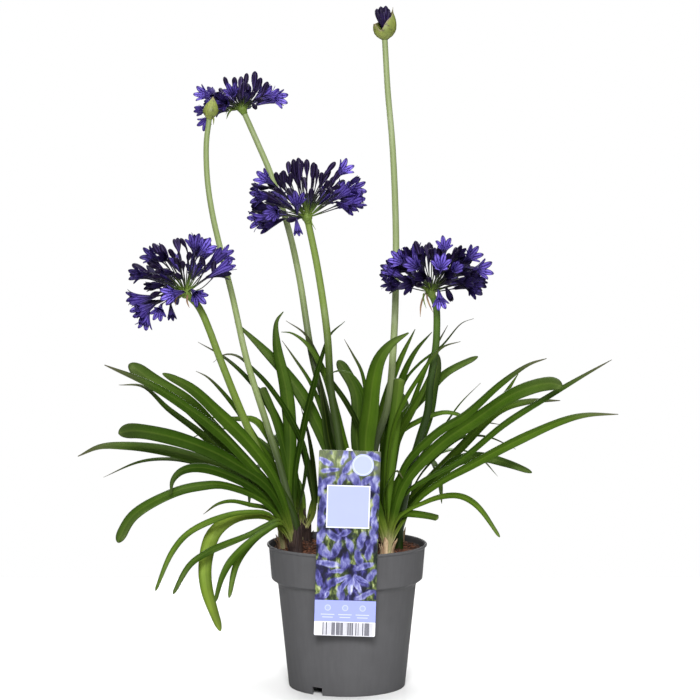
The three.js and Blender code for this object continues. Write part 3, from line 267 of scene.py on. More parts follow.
# ------------------------------------------------------------------ the flower heads
# The back of a head follows a rule: count florets in a spiral round its axis, out to spread degrees
# from it, and open beyond open degrees. They stand out by reach at its pole and at its sides, hang
# by droop, and are as light as mood says, from and to. The front florets are set one by one, from
# the stem's top: (kind, where its stalk ends, which way and how far it reaches from there, how
# light it is). Bracts, dry or fresh, are (width, where one starts, where its tip is), from the heart.
OPEN, HALF_OPEN, SPLITTING, CLOSED = 0, 1, 2, 3
FLORET_REACH = (27.0, 27.0, 24.0, 20.0)     # how far each kind reaches from its stalk
HEADS = {
    "head_low_left": dict(
        stem="stem_low_left", axis=(-0.54, -0.05, 0.84), count=30, spread=88, open=34, reach=(62, 57),
        droop=0.1, seed=3, mood=(0.0, 0.8),
        dry=[(2, (2, -7, -2), (4, -9, -14)), (2, (-7, -6, -2), (-10, -8, -12))],
        fresh=[(2, (-8, -4, 0), (-20, -12, -4))],
        front=[
            (CLOSED, (-10, 7, 45), (-6, 4, 14), 0.7), (CLOSED, (-2, 6, 49), (-6, -6, 11), 0.2),
            (OPEN, (7, -5, 41), (1, -18, 18), 0.5), (OPEN, (10, -11, 41), (12, -18, 13), 0.9),
            (OPEN, (24, 5, 37), (19, 12, 8), 0.7), (CLOSED, (26, -7, 20), (1, 3, 17), 0.2),
            (CLOSED, (18, -9, 30), (-3, -10, 11), 0.1), (HALF_OPEN, (-22, 5, 40), (-13, 16, 9), 0.2),
            (CLOSED, (-12, -11, 38), (-6, -12, 11), 0.0), (OPEN, (-27, -3, 36), (-15, -17, 8), 0.35),
            (HALF_OPEN, (-19, -15, 37), (-6, -19, 5), 0.1), (CLOSED, (-29, -15, 29), (-8, -13, 4), 0.0),
            (CLOSED, (-22, -19, 27), (-9, -15, 0), 0.0), (CLOSED, (-26, -21, 20), (-9, -14, 2), 0.0),
            (SPLITTING, (-14, -25, 25), (-10, -18, 2), 0.1), (CLOSED, (-8, -19, 33), (-3, -16, 7), 0.1),
            (CLOSED, (-4, -16, 28), (0, -15, 9), 0.0), (CLOSED, (-5, -22, 19), (-5, -16, 5), 0.0),
            (OPEN, (-38, -5, 23), (-18, -16, 0), 0.25), (CLOSED, (-31, -13, 9), (-9, -13, 0), 0.0),
            (CLOSED, (-27, -19, 5), (-9, -14, -3), 0.0), (HALF_OPEN, (-29, 6, 13), (-16, 10, -4), 0.0),
            (OPEN, (-4, -15, 5), (-16, -21, -3), 1.0), (OPEN, (4, -11, 7), (10, -21, -8), 0.6),
            (OPEN, (-44, 3, 0), (-19, -8, -1), 0.45), (OPEN, (-38, -5, -8), (-17, -14, -6), 0.7),
            (OPEN, (-40, -7, -12), (-5, -10, -20), 0.75), (OPEN, (-27, -13, -8), (-2, -19, -10), 0.6),
            (HALF_OPEN, (-18, -7, -8), (2, -11, -14), 0.3), (SPLITTING, (-24, -23, 12), (-13, -17, 1), 0.0),
            (CLOSED, (1, -19, 37), (3, -15, 9), 0.15)]),
    "head_high_left": dict(
        stem="stem_high_left", axis=(-0.12, 0, 1), count=24, spread=90, open=48, reach=(27, 45),
        droop=0, seed=9, mood=(0.25, 1.0), dry=[],
        fresh=[(2.6, (-8, -3, 0), (-17, -6, -11)), (2, (-9, -4, 1), (-19, -6, -2)),
               (1.6, (-9, 0, 1), (-18, -3, -6)), (2, (-8, 3, 1), (-15, -2, 0)),
               (1.6, (9, -3, 2), (16, -6, 2))],
        front=[
            (CLOSED, (-16, 3, 23), (-5, -6, 15), 0.5), (CLOSED, (-9, -7, 22), (0, -10, 15), 0.8),
            (CLOSED, (-4, 1, 23), (1, 9, 16), 0.9), (CLOSED, (2, -6, 25), (2, 1, 17), 0.35),
            (CLOSED, (11, -2, 24), (2, -4, 20), 1.0), (CLOSED, (15, -9, 22), (5, -11, 14), 0.7),
            (CLOSED, (20, -5, 17), (7, -10, 15), 0.6), (OPEN, (24, -8, 17), (20, -16, -4), 1.0),
            (CLOSED, (14, -17, 13), (8, -15, -2), 0.1), (CLOSED, (10, -15, 9), (5, -12, -7), 0.0),
            (OPEN, (-31, -6, 15), (-17, -16, 5), 0.9), (HALF_OPEN, (-29, 1, 17), (-9, 19, 6), 0.4),
            (HALF_OPEN, (-38, 1, 4), (-13, 18, -2), 0.6), (OPEN, (-36, 4, -2), (-9, 17, -12), 0.8),
            (OPEN, (-10, -13, 14), (-2, -21, 9), 0.55), (SPLITTING, (-16, -19, 11), (-11, -19, 7), 0.3),
            (OPEN, (-16, -14, 8), (-6, -22, 0), 0.35), (CLOSED, (-3, -19, 13), (0, -15, 9), 0.5),
            (SPLITTING, (3, -17, 13), (3, -17, 8), 0.3), (CLOSED, (8, -17, 14), (5, -15, 6), 0.3),
            (CLOSED, (-19, -17, 5), (-9, -17, -1), 0.1), (SPLITTING, (-24, -11, 12), (-9, -20, 4), 0.2),
            (HALF_OPEN, (-25, -9, 5), (-13, -19, -2), 0.3), (CLOSED, (-22, 2, 18), (-5, 12, 8), 0.2)]),
    "head_centre": dict(
        stem="stem_centre", axis=(-0.16, 0, 1), count=36, spread=82, open=54, reach=(60, 60),
        droop=0, seed=5, mood=(0.0, 0.8), dry=[],
        fresh=[(1.2, (4, -5, -1), (9, -8, -12)), (1.6, (-9, -5, 4), (-20, -9, 6))],
        front=[
            (CLOSED, (-20, 14, 48), (-1, 8, 15), 0.6), (CLOSED, (-13, -3, 47), (-2, -4, 18), 0.0),
            (CLOSED, (-7, 8, 48), (0, 5, 16), 0.5), (CLOSED, (-1, 2, 47), (0, -3, 18), 0.4),
            (CLOSED, (-31, -4, 39), (-2, -12, 12), 0.1), (CLOSED, (-24, -8, 39), (-1, -10, 14), 0.3),
            (CLOSED, (-27, 10, 38), (-2, 9, 13), 0.0), (CLOSED, (-18, -12, 37), (1, -12, 13), 0.1),
            (CLOSED, (6, -3, 41), (-1, -10, 13), 0.0), (CLOSED, (9, 6, 42), (1, 9, 13), 0.1),
            (CLOSED, (13, -9, 37), (2, -10, 14), 0.2), (CLOSED, (18, 6, 49), (11, -6, 13), 0.7),
            (CLOSED, (17, -12, 33), (5, -13, 9), 0.1), (CLOSED, (21, -10, 37), (5, -13, -8), 0.0),
            (CLOSED, (24, -4, 33), (10, -13, 4), 0.1), (CLOSED, (12, -14, 33), (4, -15, -2), 0.2),
            (CLOSED, (4, -14, 21), (0, -13, 13), 0.1), (SPLITTING, (28, 10, 36), (10, 14, 6), 0.1),
            (OPEN, (27, 4, 45), (15, -15, 13), 0.9), (SPLITTING, (38, 16, 32), (16, -6, 14), 0.3),
            (OPEN, (36, 2, 31), (21, -14, 4), 0.6), (OPEN, (33, 0, 24), (23, -13, -4), 0.7),
            (HALF_OPEN, (30, -10, 20), (17, -16, -8), 0.4), (OPEN, (-35, 4, 38), (-14, -18, 9), 0.7),
            (HALF_OPEN, (-41, 20, 35), (-17, 14, 0), 0.1), (OPEN, (-34, -2, 26), (-23, -14, 0), 0.45),
            (HALF_OPEN, (-36, 6, 17), (-17, 6, -3), 0.0), (OPEN, (-35, -8, 6), (-25, -10, -6), 0.7),
            (OPEN, (-29, -13, 11), (-9, -22, -3), 0.55), (HALF_OPEN, (-26, -14, 2), (-22, -14, -8), 0.2),
            (OPEN, (-11, -14, 8), (1, -18, 18), 0.5), (HALF_OPEN, (-12, -8, 3), (2, -9, -16), 0.75),
            (CLOSED, (-9, -4, 3), (-13, -13, -2), 0.0), (CLOSED, (-27, -8, 30), (-7, -15, 4), 0.0)]),
    "head_low_right": dict(
        stem="stem_low_right", axis=(0.12, 0, 1), count=32, spread=84, open=34, reach=(52, 56),
        droop=0.05, seed=13, mood=(0.0, 0.7),
        dry=[(2, (-6, -5, -2), (-11, -9, -25)), (1.8, (-4, -7, -3), (2, -12, -20))],
        fresh=[(1.6, (-7, -5, -1), (-5, -10, -16))],
        front=[
            (OPEN, (12, -4, 41), (0, -18, 14), 0.75), (CLOSED, (-5, 2, 41), (-1, 12, 11), 0.2),
            (CLOSED, (-1, -14, 39), (-1, -14, 10), 0.0), (OPEN, (7, -26, 24), (0, -23, 13), 1.0),
            (HALF_OPEN, (21, -4, 36), (8, -19, 10), 0.1), (OPEN, (31, -10, 34), (12, -19, 11), 0.55),
            (OPEN, (37, -8, 26), (18, -20, 2), 0.7), (HALF_OPEN, (37, -2, 19), (17, 12, -9), 0.2),
            (HALF_OPEN, (-20, 0, 33), (-8, -20, 11), 0.1), (CLOSED, (-18, 8, 36), (-3, 13, 11), 0.1),
            (OPEN, (-25, -8, 31), (-14, -19, 9), 0.75), (HALF_OPEN, (-33, -2, 21), (-17, 16, 0), 0.1),
            (OPEN, (-29, -4, 25), (-19, -17, 2), 0.3), (OPEN, (6, -14, 6), (2, -16, -15), 0.95),
            (SPLITTING, (14, -14, 8), (5, -15, -12), 0.0), (OPEN, (-13, -30, 27), (-10, -21, 8), 0.6),
            (HALF_OPEN, (19, -28, 25), (5, -22, 6), 0.8), (CLOSED, (15, -18, 33), (1, -14, 11), 0.0),
            (OPEN, (-13, -24, 17), (-17, -20, -5), 0.1), (HALF_OPEN, (23, -30, 16), (13, -20, 0), 0.1),
            (HALF_OPEN, (-6, -34, 19), (-8, -22, 3), 0.0), (OPEN, (30, -10, 12), (15, -21, -5), 0.25),
            (CLOSED, (21, 2, 38), (5, 12, 11), 0.1), (SPLITTING, (-8, -18, 32), (-6, -17, 10), 0.0),
            (CLOSED, (-2, -26, 15), (-4, -17, 4), 0.0), (CLOSED, (3, -24, 21), (-1, -16, 7), 0.0),
            (CLOSED, (13, -24, 14), (4, -17, 3), 0.0), (HALF_OPEN, (11, -26, 20), (5, -19, 4), 0.05),
            (CLOSED, (-9, -22, 12), (-9, -15, 0), 0.0), (CLOSED, (19, -20, 24), (8, -15, 4), 0.0),
            (HALF_OPEN, (-27, -9, 12), (-18, -14, -3), 0.1), (HALF_OPEN, (28, -13, 24), (14, -17, -3), 0.0)]),
}

# ------------------------------------------------------------------ the label's print
# Millimetres from the label's lower left corner. A box is (left, right, bottom, top).
BAR_STRIP = (0, 64, 0, 14.8)
BARS = (8.5, 60.5, 0.6, 14.0)
BLUE_BAND = (0, 64, 14.8, 37.2)
BAND_RINGS = ((13.5, 29.3), (31.5, 29.3), (49.5, 29.3))
PANEL_EDGE = (9.2, 53.6, 112.8, 157.2)
PANEL_FIELD = (10.3, 52.5, 113.9, 156.1)
DISC = (45.2, 178.6)            # the middle of the round spot
# The loose petals of its picture: (x, y, half length, half width, turn in degrees, how light).
PRINTED_PETALS = (
    (9, 47, 11, 4, 70, 0.25), (3, 60, 10, 4, 110, 0.15), (17, 55, 9, 4, 40, 0.1),
    (26, 44, 9, 4, 95, 0.3), (47, 58, 10, 4, 150, 0.2), (58, 64, 9, 4, 60, 0.3),
    (30, 78, 10, 5, 80, 0.1), (44, 82, 11, 4, 100, 0.35), (54, 88, 10, 4, 75, 0.3),
    (20, 90, 10, 5, 60, 0.25), (8, 88, 9, 5, 120, 0.35), (4, 103, 10, 4, 70, 0.45),
    (34, 95, 9, 4, 110, 0.3), (46, 101, 10, 4, 70, 0.4), (58, 104, 10, 4, 100, 0.35),
    (17, 104, 10, 4, 150, 0.5), (28, 107, 8, 3, 30, 0.25), (3, 122, 11, 5, 95, 0.3),
    (6, 138, 11, 4, 75, 0.4), (2, 154, 11, 5, 100, 0.35), (9, 160, 10, 4, 35, 0.45),
    (59, 118, 10, 4, 95, 0.7), (57, 130, 10, 3, 70, 0.85), (61, 141, 9, 4, 110, 0.3),
    (58, 160, 10, 5, 80, 0.4), (50, 163, 9, 4, 30, 0.3), (38, 163, 9, 5, 120, 0.45),
    (24, 162, 9, 4, 60, 0.35), (12, 172, 10, 3, 10, 0.8), (6, 181, 10, 3, 155, 1.0),
    (30, 176, 10, 4, 50, 0.8), (36, 186, 8, 3, 110, 0.7), (26, 187, 8, 3, 70, 1.0),
    (56, 188, 9, 4, 160, 0.8), (13, 75, 13, 3.6, -4, 0.75), (22, 68, 9, 2.6, 12, 0.45),
    (50, 73, 12, 3, 20, 0.4), (27, 60, 10, 2.8, 25, 0.8), (31, 55, 10, 2.8, 55, 0.95),
    (37, 52, 10, 3, 88, 1.0), (43, 54, 10, 2.6, 118, 0.9), (47, 60, 9, 2.5, 150, 0.7),
    (12, 43, 5, 2, 60, 1.0), (51, 43, 12, 3.2, 25, 0.5),
)

# ------------------------------------------------------------------ the studio
FLOOR = ((-900, -900, 0), (900, -900, 0), (900, 650, 0), (-900, 650, 0))
SURROUND_LIGHT = 0.06           # what the white surround gives, where 1 is what it shows
# (name, place, what it points at, (width, height), watts), in metres
SOFTBOXES = (
    ("key", (-0.1, -2.6, 1.6), (0, 0, 0.3), (0.8, 0.8), 100),
    ("fill", (0.6, -2.9, 1.0), (0, 0, 0.3), (0.6, 0.9), 24),
    ("top", (0.1, 0.3, 2.2), (0, 0.2, 0), (1.6, 1.6), 58),
    ("back", (-0.4, 2.6, 1.1), (0, 0, 0.3), (1.6, 1.2), 38),
)
CAMERA_PLACE = (0.0032, -2.33, 0.522)       # in metres
CAMERA_DOWN = 4.03              # degrees below level
CAMERA_LENS, CAMERA_SENSOR = 113.6, 36.0    # in millimetres

UP = np.array([0.0, 0.0, 1.0])
EAST = np.array([1.0, 0.0, 0.0])


# ------------------------------------------------------------------ small geometry helpers
def mix(low, high, share):
    """The value that lies share of the way from low to high."""
    return low + (high - low) * share


def noise(index, seed):
    """A number from 0 to 1 that jumps about, the same each time for an index and a seed."""
    value = math.sin(index * 12.9898 + seed * 78.233) * 43758.5453
    return value - math.floor(value)


def unit(v):
    """A direction, or an array of them, made one long."""
    v = np.asarray(v, float)
    return v / np.maximum(np.linalg.norm(v, axis=-1, keepdims=True), 1e-12)


def across(along, hint):
    """Two directions square to along, the first as close as it can be to hint."""
    first = unit(np.asarray(hint, float) - along * np.dot(hint, along))
    return first, np.cross(along, first)


def smooth_path(points, count, tip_crowding=1.0):
    """A smooth curve through points: count places along it, their directions, each one's share of
    the way, and the curve's length. With tip_crowding above 1 the places crowd towards its end."""
    p = np.asarray(points, float)
    p = np.vstack([2 * p[0] - p[1], p, 2 * p[-1] - p[-2]])
    fine = []
    for a, b, c, d in zip(p[:-3], p[1:-2], p[2:-1], p[3:]):
        t = np.cumsum([0.0] + [max(np.linalg.norm(v), 1e-4) ** 0.5 for v in (b - a, c - b, d - c)])
        for s in np.linspace(t[1], t[2], 24, endpoint=False):
            ab = a + (b - a) * (s - t[0]) / (t[1] - t[0])
            bc = b + (c - b) * (s - t[1]) / (t[2] - t[1])
            cd = c + (d - c) * (s - t[2]) / (t[3] - t[2])
            abc = ab + (bc - ab) * (s - t[0]) / (t[2] - t[0])
            bcd = bc + (cd - bc) * (s - t[1]) / (t[3] - t[1])
            fine.append(abc + (bcd - abc) * (s - t[1]) / (t[2] - t[1]))
    fine = np.vstack([fine, p[-2]])
    run = np.concatenate([[0], np.cumsum(np.linalg.norm(np.diff(fine, axis=0), axis=1))])
    share = 1 - (1 - np.linspace(0, 1, count)) ** tip_crowding
    where = share * run[-1]
    even = np.stack([np.interp(where, run, fine[:, k]) for k in range(3)], axis=1)
    tangents = unit(np.gradient(even, axis=0))
    return even, tangents, share, run[-1]


def add_object(name, data):
    """The data as an object of the scene."""
    obj = bpy.data.objects.new(name, data)
    bpy.context.scene.collection.objects.link(obj)
    return obj


def make_object(name, vertices, faces, materials=(), smooth=True):
    """A mesh object from vertices in millimetres."""
    mesh = bpy.data.meshes.new(name)
    mesh.from_pydata((np.asarray(vertices, float) * MM).tolist(), [], [list(f) for f in faces])
    for material in materials:
        mesh.materials.append(material)
    if smooth:
        mesh.shade_smooth()
    mesh.update()
    return add_object(name, mesh)


def set_attribute(mesh, name, values, kind="FLOAT"):
    """A value for each point of the mesh, under a name that node trees and finishes read."""
    attribute = mesh.attributes.new(name, kind, "POINT")
    field = "vector" if kind == "FLOAT_VECTOR" else "value"
    attribute.data.foreach_set(field, np.asarray(values).astype(np.float32).ravel())


def join(name, objects):
    """Several objects as one mesh object."""
    with bpy.context.temp_override(active_object=objects[0], selected_editable_objects=objects):
        bpy.ops.object.join()
    objects[0].name = name
    objects[0].data.name = name
    return objects[0]


def grid_faces(rows, columns, closed=False):
    """Quads over a grid of rows x columns vertices; closed joins the last column to the first."""
    faces = []
    for r in range(rows - 1):
        for c in range(columns if closed else columns - 1):
            n = (c + 1) % columns
            faces.append((r * columns + c, r * columns + n, (r + 1) * columns + n, (r + 1) * columns + c))
    return faces


def tube_faces(rows, sides):
    """Quads over a closed grid, and a face over each of its ends."""
    ends = [list(range(sides))[::-1], list(range((rows - 1) * sides, rows * sides))]
    return grid_faces(rows, sides, closed=True) + ends


def recalculate_outward(obj):
    """Merges doubles and turns every face outwards."""
    mesh = bmesh.new()
    mesh.from_mesh(obj.data)
    bmesh.ops.remove_doubles(mesh, verts=mesh.verts, dist=1e-6)
    bmesh.ops.recalc_face_normals(mesh, faces=mesh.faces)
    mesh.to_mesh(obj.data)
    mesh.free()


def thicken(obj, thickness):
    """A sheet given a wall, as a closed solid."""
    mesh = bmesh.new()
    mesh.from_mesh(obj.data)
    bmesh.ops.solidify(mesh, geom=mesh.faces[:], thickness=thickness * MM)
    mesh.to_mesh(obj.data)
    mesh.free()
    recalculate_outward(obj)


# ------------------------------------------------------------------ node trees
def add_node(tree, kind, inputs=None, **settings):
    """A node with its settings and inputs; an input is a socket to link or a plain value."""
    node = tree.nodes.new(kind)
    for key, value in settings.items():
        setattr(node, key, value)
    for key, value in (inputs or {}).items():
        if isinstance(value, bpy.types.NodeSocket):
            tree.links.new(value, node.inputs[key])
        elif value is not None:
            node.inputs[key].default_value = value
    return node


def new_geometry_tree(name, inputs):
    """A geometry node tree with named inputs, its input node, and a function that closes it."""
    tree = bpy.data.node_groups.new(name, "GeometryNodeTree")
    tree.interface.new_socket("Geometry", in_out="INPUT", socket_type="NodeSocketGeometry")
    for label, kind in inputs:
        tree.interface.new_socket(label, in_out="INPUT", socket_type="NodeSocket" + kind)
    tree.interface.new_socket("Geometry", in_out="OUTPUT", socket_type="NodeSocketGeometry")
    given = tree.nodes.new("NodeGroupInput").outputs

    def finish(geometry, material):
        real = add_node(tree, "GeometryNodeRealizeInstances", {"Geometry": geometry})
        smooth = add_node(tree, "GeometryNodeSetShadeSmooth", {"Geometry": real.outputs[0]})
        painted = add_node(tree, "GeometryNodeSetMaterial", {
            "Geometry": smooth.outputs[0], "Material": material})
        tree.links.new(painted.outputs[0], tree.nodes.new("NodeGroupOutput").inputs[0])

    return tree, given, finish


def named(tree, name, kind="FLOAT"):
    """What a guide's attribute gives at each point."""
    node = add_node(tree, "GeometryNodeInputNamedAttribute", {"Name": name}, data_type=kind)
    return node.outputs["Attribute"]


def calculate(tree, operation, *values):
    """One step of arithmetic on sockets or plain numbers."""
    return add_node(tree, "ShaderNodeMath", dict(enumerate(values)), operation=operation).outputs[0]


def grow(guide, tree, values, name):
    """The tree's result on the guide as a plain mesh object; the guide is removed."""
    modifier = guide.modifiers.new("grow", "NODES")
    modifier.node_group = tree
    for item in tree.interface.items_tree:
        if item.in_out == "INPUT" and item.name in values:
            modifier[item.identifier] = values[item.name]
    evaluated = guide.evaluated_get(bpy.context.evaluated_depsgraph_get())
    mesh = bpy.data.meshes.new_from_object(evaluated)
    mesh.name = name
    guide.modifiers.clear()
    bpy.data.objects.remove(guide)
    return add_object(name, mesh)


def make_guide(paths):
    """Polylines in one mesh. A path is {"points": ..., attribute name: ...}, where an attribute is a
    value for each point or one number for all of them."""
    points, edges = [], []
    for path in paths:
        start = len(points)
        points.extend(path["points"])
        edges.extend((start + i, start + i + 1) for i in range(len(path["points"]) - 1))
    mesh = bpy.data.meshes.new("guide")
    mesh.from_pydata((np.asarray(points) * MM).tolist(), edges, [])
    for key in paths[0]:
        if key != "points":
            values = np.concatenate([
                np.full(len(path["points"]), float(path[key])) if np.ndim(path[key]) == 0
                else np.asarray(path[key], float) for path in paths])
            set_attribute(mesh, key, values, "FLOAT_VECTOR" if values.ndim == 2 else "FLOAT")
    return add_object("guide", mesh)


def build_strap_tree():
    """Grows a strap or a round stem along each polyline: half_width wide to either side along the
    breadth attribute, and Thickness times that thick. It is raised along topside by cup times its
    half width: evenly where Keel is 0, and at its edges alone, as a round channel, where it is 2."""
    tree, given, finish = new_geometry_tree("strap", [
        ("Sides", "Int"), ("Thickness", "Float"), ("Ribs", "Int"), ("Rib Height", "Float"),
        ("Keel", "Float"), ("Material", "Material")])
    rail = add_node(tree, "GeometryNodeMeshToCurve", {"Mesh": given["Geometry"]})
    turned = add_node(tree, "GeometryNodeSetCurveNormal", {"Curve": rail.outputs[0]}, mode="FREE")
    tree.links.new(named(tree, "breadth", "FLOAT_VECTOR"), turned.inputs["Normal"])
    section = add_node(tree, "GeometryNodeCurvePrimitiveCircle", {
        "Resolution": given["Sides"], "Radius": 1.0}, mode="RADIUS")
    position = add_node(tree, "GeometryNodeInputPosition").outputs[0]
    xyz = add_node(tree, "ShaderNodeSeparateXYZ", {0: position})
    angle = calculate(tree, "ARCTAN2", xyz.outputs[1], xyz.outputs[0])
    wave = calculate(tree, "COSINE", calculate(tree, "MULTIPLY", angle, given["Ribs"]))
    swell = calculate(tree, "MULTIPLY_ADD", wave, given["Rib Height"], 1.0)
    x = calculate(tree, "MULTIPLY", xyz.outputs[0], swell)
    y = calculate(tree, "MULTIPLY", calculate(tree, "MULTIPLY", xyz.outputs[1], swell), given["Thickness"])
    flat = add_node(tree, "GeometryNodeSetPosition", {
        "Geometry": section.outputs[0],
        "Position": add_node(tree, "ShaderNodeCombineXYZ", {0: x, 1: y}).outputs[0]})
    marked = add_node(tree, "GeometryNodeStoreNamedAttribute", {
        "Geometry": flat.outputs[0], "Name": "across", "Value": xyz.outputs[0]},
        data_type="FLOAT", domain="POINT")
    swept = add_node(tree, "GeometryNodeCurveToMesh", {
        "Curve": turned.outputs[0], "Profile Curve": marked.outputs[0],
        "Scale": named(tree, "half_width"), "Fill Caps": True})
    side = named(tree, "across")
    keel = calculate(tree, "POWER", calculate(tree, "ABSOLUTE", side), given["Keel"])
    lift = calculate(tree, "MULTIPLY", keel,
                     calculate(tree, "MULTIPLY", named(tree, "half_width"), named(tree, "cup")))
    raised = add_node(tree, "ShaderNodeVectorMath", {
        0: named(tree, "topside", "FLOAT_VECTOR"), "Scale": lift}, operation="SCALE")
    cupped = add_node(tree, "GeometryNodeSetPosition", {
        "Geometry": swept.outputs[0], "Offset": raised.outputs[0]})
    finish(cupped.outputs[0], given["Material"])
    return tree


def grow_straps(name, paths, strap_tree, sides, thickness, material, keel=2.0, ribs=0, rib_height=0.0):
    """Straps or round stems along the paths, as one mesh object."""
    return grow(make_guide(paths), strap_tree, {
        "Sides": sides, "Thickness": thickness, "Ribs": ribs, "Rib Height": rib_height, "Keel": keel,
        "Material": material}, name)


def build_umbel_tree():
    """Puts a floret on each point: the one that its kind attribute asks for, facing its way."""
    kinds = ("Open Floret", "Half Open Floret", "Splitting Floret", "Closed Floret")
    tree, given, finish = new_geometry_tree("umbel", [(kind, "Object") for kind in kinds]
                                            + [("Material", "Material")])
    facing = named(tree, "facing", "FLOAT_VECTOR")
    aim = add_node(tree, "FunctionNodeAlignRotationToVector", {"Vector": facing}, axis="Z")
    spin = add_node(tree, "FunctionNodeAxisAngleToRotation", {
        "Axis": (0, 0, 1), "Angle": named(tree, "turn")})
    rotation = add_node(tree, "FunctionNodeRotateRotation", {
        "Rotation": aim.outputs[0], "Rotate By": spin.outputs[0]}, rotation_space="LOCAL")
    everything = tree.nodes.new("GeometryNodeJoinGeometry")
    for index, kind in enumerate(kinds):
        chosen = add_node(tree, "FunctionNodeCompare", {
            "A": named(tree, "kind"), "B": float(index), "Epsilon": 0.1},
            data_type="FLOAT", operation="EQUAL")
        source = add_node(tree, "GeometryNodeObjectInfo", {"Object": given[kind], "As Instance": True})
        placed = add_node(tree, "GeometryNodeInstanceOnPoints", {
            "Points": given["Geometry"], "Selection": chosen.outputs[0],
            "Instance": source.outputs["Geometry"], "Rotation": rotation.outputs[0],
            "Scale": named(tree, "size")})
        tree.links.new(placed.outputs[0], everything.inputs[0])
    finish(everything.outputs[0], given["Material"])
    return tree


def build_litter_tree():
    """Strews bits over a bed, lying flat but for a random tilt, each with a tone of its own."""
    tree, given, finish = new_geometry_tree("litter", [
        ("Bit", "Object"), ("Density", "Float"), ("Seed", "Int"), ("Smallest", "Float"),
        ("Largest", "Float"), ("Tilt", "Float"), ("Material", "Material")])
    spots = add_node(tree, "GeometryNodeDistributePointsOnFaces", {
        "Mesh": given["Geometry"], "Density": given["Density"], "Seed": given["Seed"]},
        distribute_method="RANDOM")
    tilt = calculate(tree, "MULTIPLY", given["Tilt"], -1.0)
    low = add_node(tree, "ShaderNodeCombineXYZ", {0: tilt, 1: tilt, 2: -math.pi})
    high = add_node(tree, "ShaderNodeCombineXYZ", {0: given["Tilt"], 1: given["Tilt"], 2: math.pi})
    turn = add_node(tree, "FunctionNodeRandomValue", {
        0: low.outputs[0], 1: high.outputs[0], "Seed": given["Seed"]}, data_type="FLOAT_VECTOR")
    size = add_node(tree, "FunctionNodeRandomValue", {
        2: given["Smallest"], 3: given["Largest"], "Seed": given["Seed"]}, data_type="FLOAT")
    shade = add_node(tree, "FunctionNodeRandomValue", {2: 0.0, 3: 1.0, "Seed": 7}, data_type="FLOAT")
    strewn = add_node(tree, "GeometryNodeInstanceOnPoints", {
        "Points": spots.outputs["Points"],
        "Instance": add_node(tree, "GeometryNodeObjectInfo", {
            "Object": given["Bit"], "As Instance": True}).outputs["Geometry"],
        "Rotation": turn.outputs[0], "Scale": size.outputs[1]})
    toned = add_node(tree, "GeometryNodeStoreNamedAttribute", {
        "Geometry": strewn.outputs[0], "Name": "tone", "Value": shade.outputs[1]},
        data_type="FLOAT", domain="INSTANCE")
    finish(toned.outputs[0], given["Material"])
    return tree


# ------------------------------------------------------------------ materials
class Finish:
    """A material's node tree, with short ways to add to it."""

    def __init__(self, name, roughness, **sockets):
        self.material = bpy.data.materials.new(name)
        self.material.use_nodes = True
        self.tree = self.material.node_tree
        self.shader = self.tree.nodes["Principled BSDF"]
        self.shader.inputs["Roughness"].default_value = roughness
        for key, value in sockets.items():
            self.shader.inputs[key.replace("_", " ")].default_value = value

    def node(self, kind, inputs=None, **settings):
        return add_node(self.tree, kind, inputs, **settings)

    def place(self, stretch=(1, 1, 1)):
        """Object coordinates in millimetres, stretched for a pattern."""
        here = self.node("ShaderNodeTexCoord").outputs["Object"]
        return self.node("ShaderNodeMapping", {
            "Vector": here, "Scale": [1000 * s for s in stretch]}).outputs[0]

    def attribute(self, name):
        return self.node("ShaderNodeAttribute", attribute_name=name).outputs["Fac"]

    def uv(self):
        return self.node("ShaderNodeTexCoord").outputs["UV"]

    def mottle(self, vector, scale, detail):
        """Soft clouds from 0 to 1, finer with a larger scale."""
        return self.node("ShaderNodeTexNoise", {
            "Vector": vector, "Scale": scale, "Detail": detail, "Roughness": 0.55}).outputs["Fac"]

    def math(self, operation, *values):
        return self.node("ShaderNodeMath", dict(enumerate(values)), operation=operation).outputs[0]

    def times(self, a, b):
        return self.math("MULTIPLY", a, b)

    def between(self, value, low, high, to_low=0.0, to_high=1.0):
        """Eases from to_low to to_high while the value goes from low to high."""
        return self.node("ShaderNodeMapRange", {
            0: value, 1: low, 2: high, 3: to_low, 4: to_high}, interpolation_type="SMOOTHSTEP").outputs[0]

    def ramp(self, value, stops):
        node = self.node("ShaderNodeValToRGB", {"Fac": value})
        while len(node.color_ramp.elements) < len(stops):
            node.color_ramp.elements.new(0.5)
        for element, (position, color) in zip(node.color_ramp.elements, stops):
            element.position = position
            element.color = (*color, 1)
        return node.outputs[0]

    def mix(self, share, a, b):
        """Colour a, with share of it covered by colour b."""
        node = self.node("ShaderNodeMix", data_type="RGBA")
        for key, value in (("Factor", share), ("A", a), ("B", b)):
            socket = next(s for s in node.inputs if s.name == key and s.enabled)
            if isinstance(value, bpy.types.NodeSocket):
                self.tree.links.new(value, socket)
            else:
                socket.default_value = value if key == "Factor" else (*value, 1)
        return next(s for s in node.outputs if s.enabled)

    def color(self, socket):
        self.tree.links.new(socket, self.shader.inputs["Base Color"])

    def roughness(self, socket):
        self.tree.links.new(socket, self.shader.inputs["Roughness"])

    def bump(self, height, distance, strength=1.0):
        node = self.node("ShaderNodeBump", {
            "Height": height, "Distance": distance * MM, "Strength": strength})
        self.tree.links.new(node.outputs[0], self.shader.inputs["Normal"])


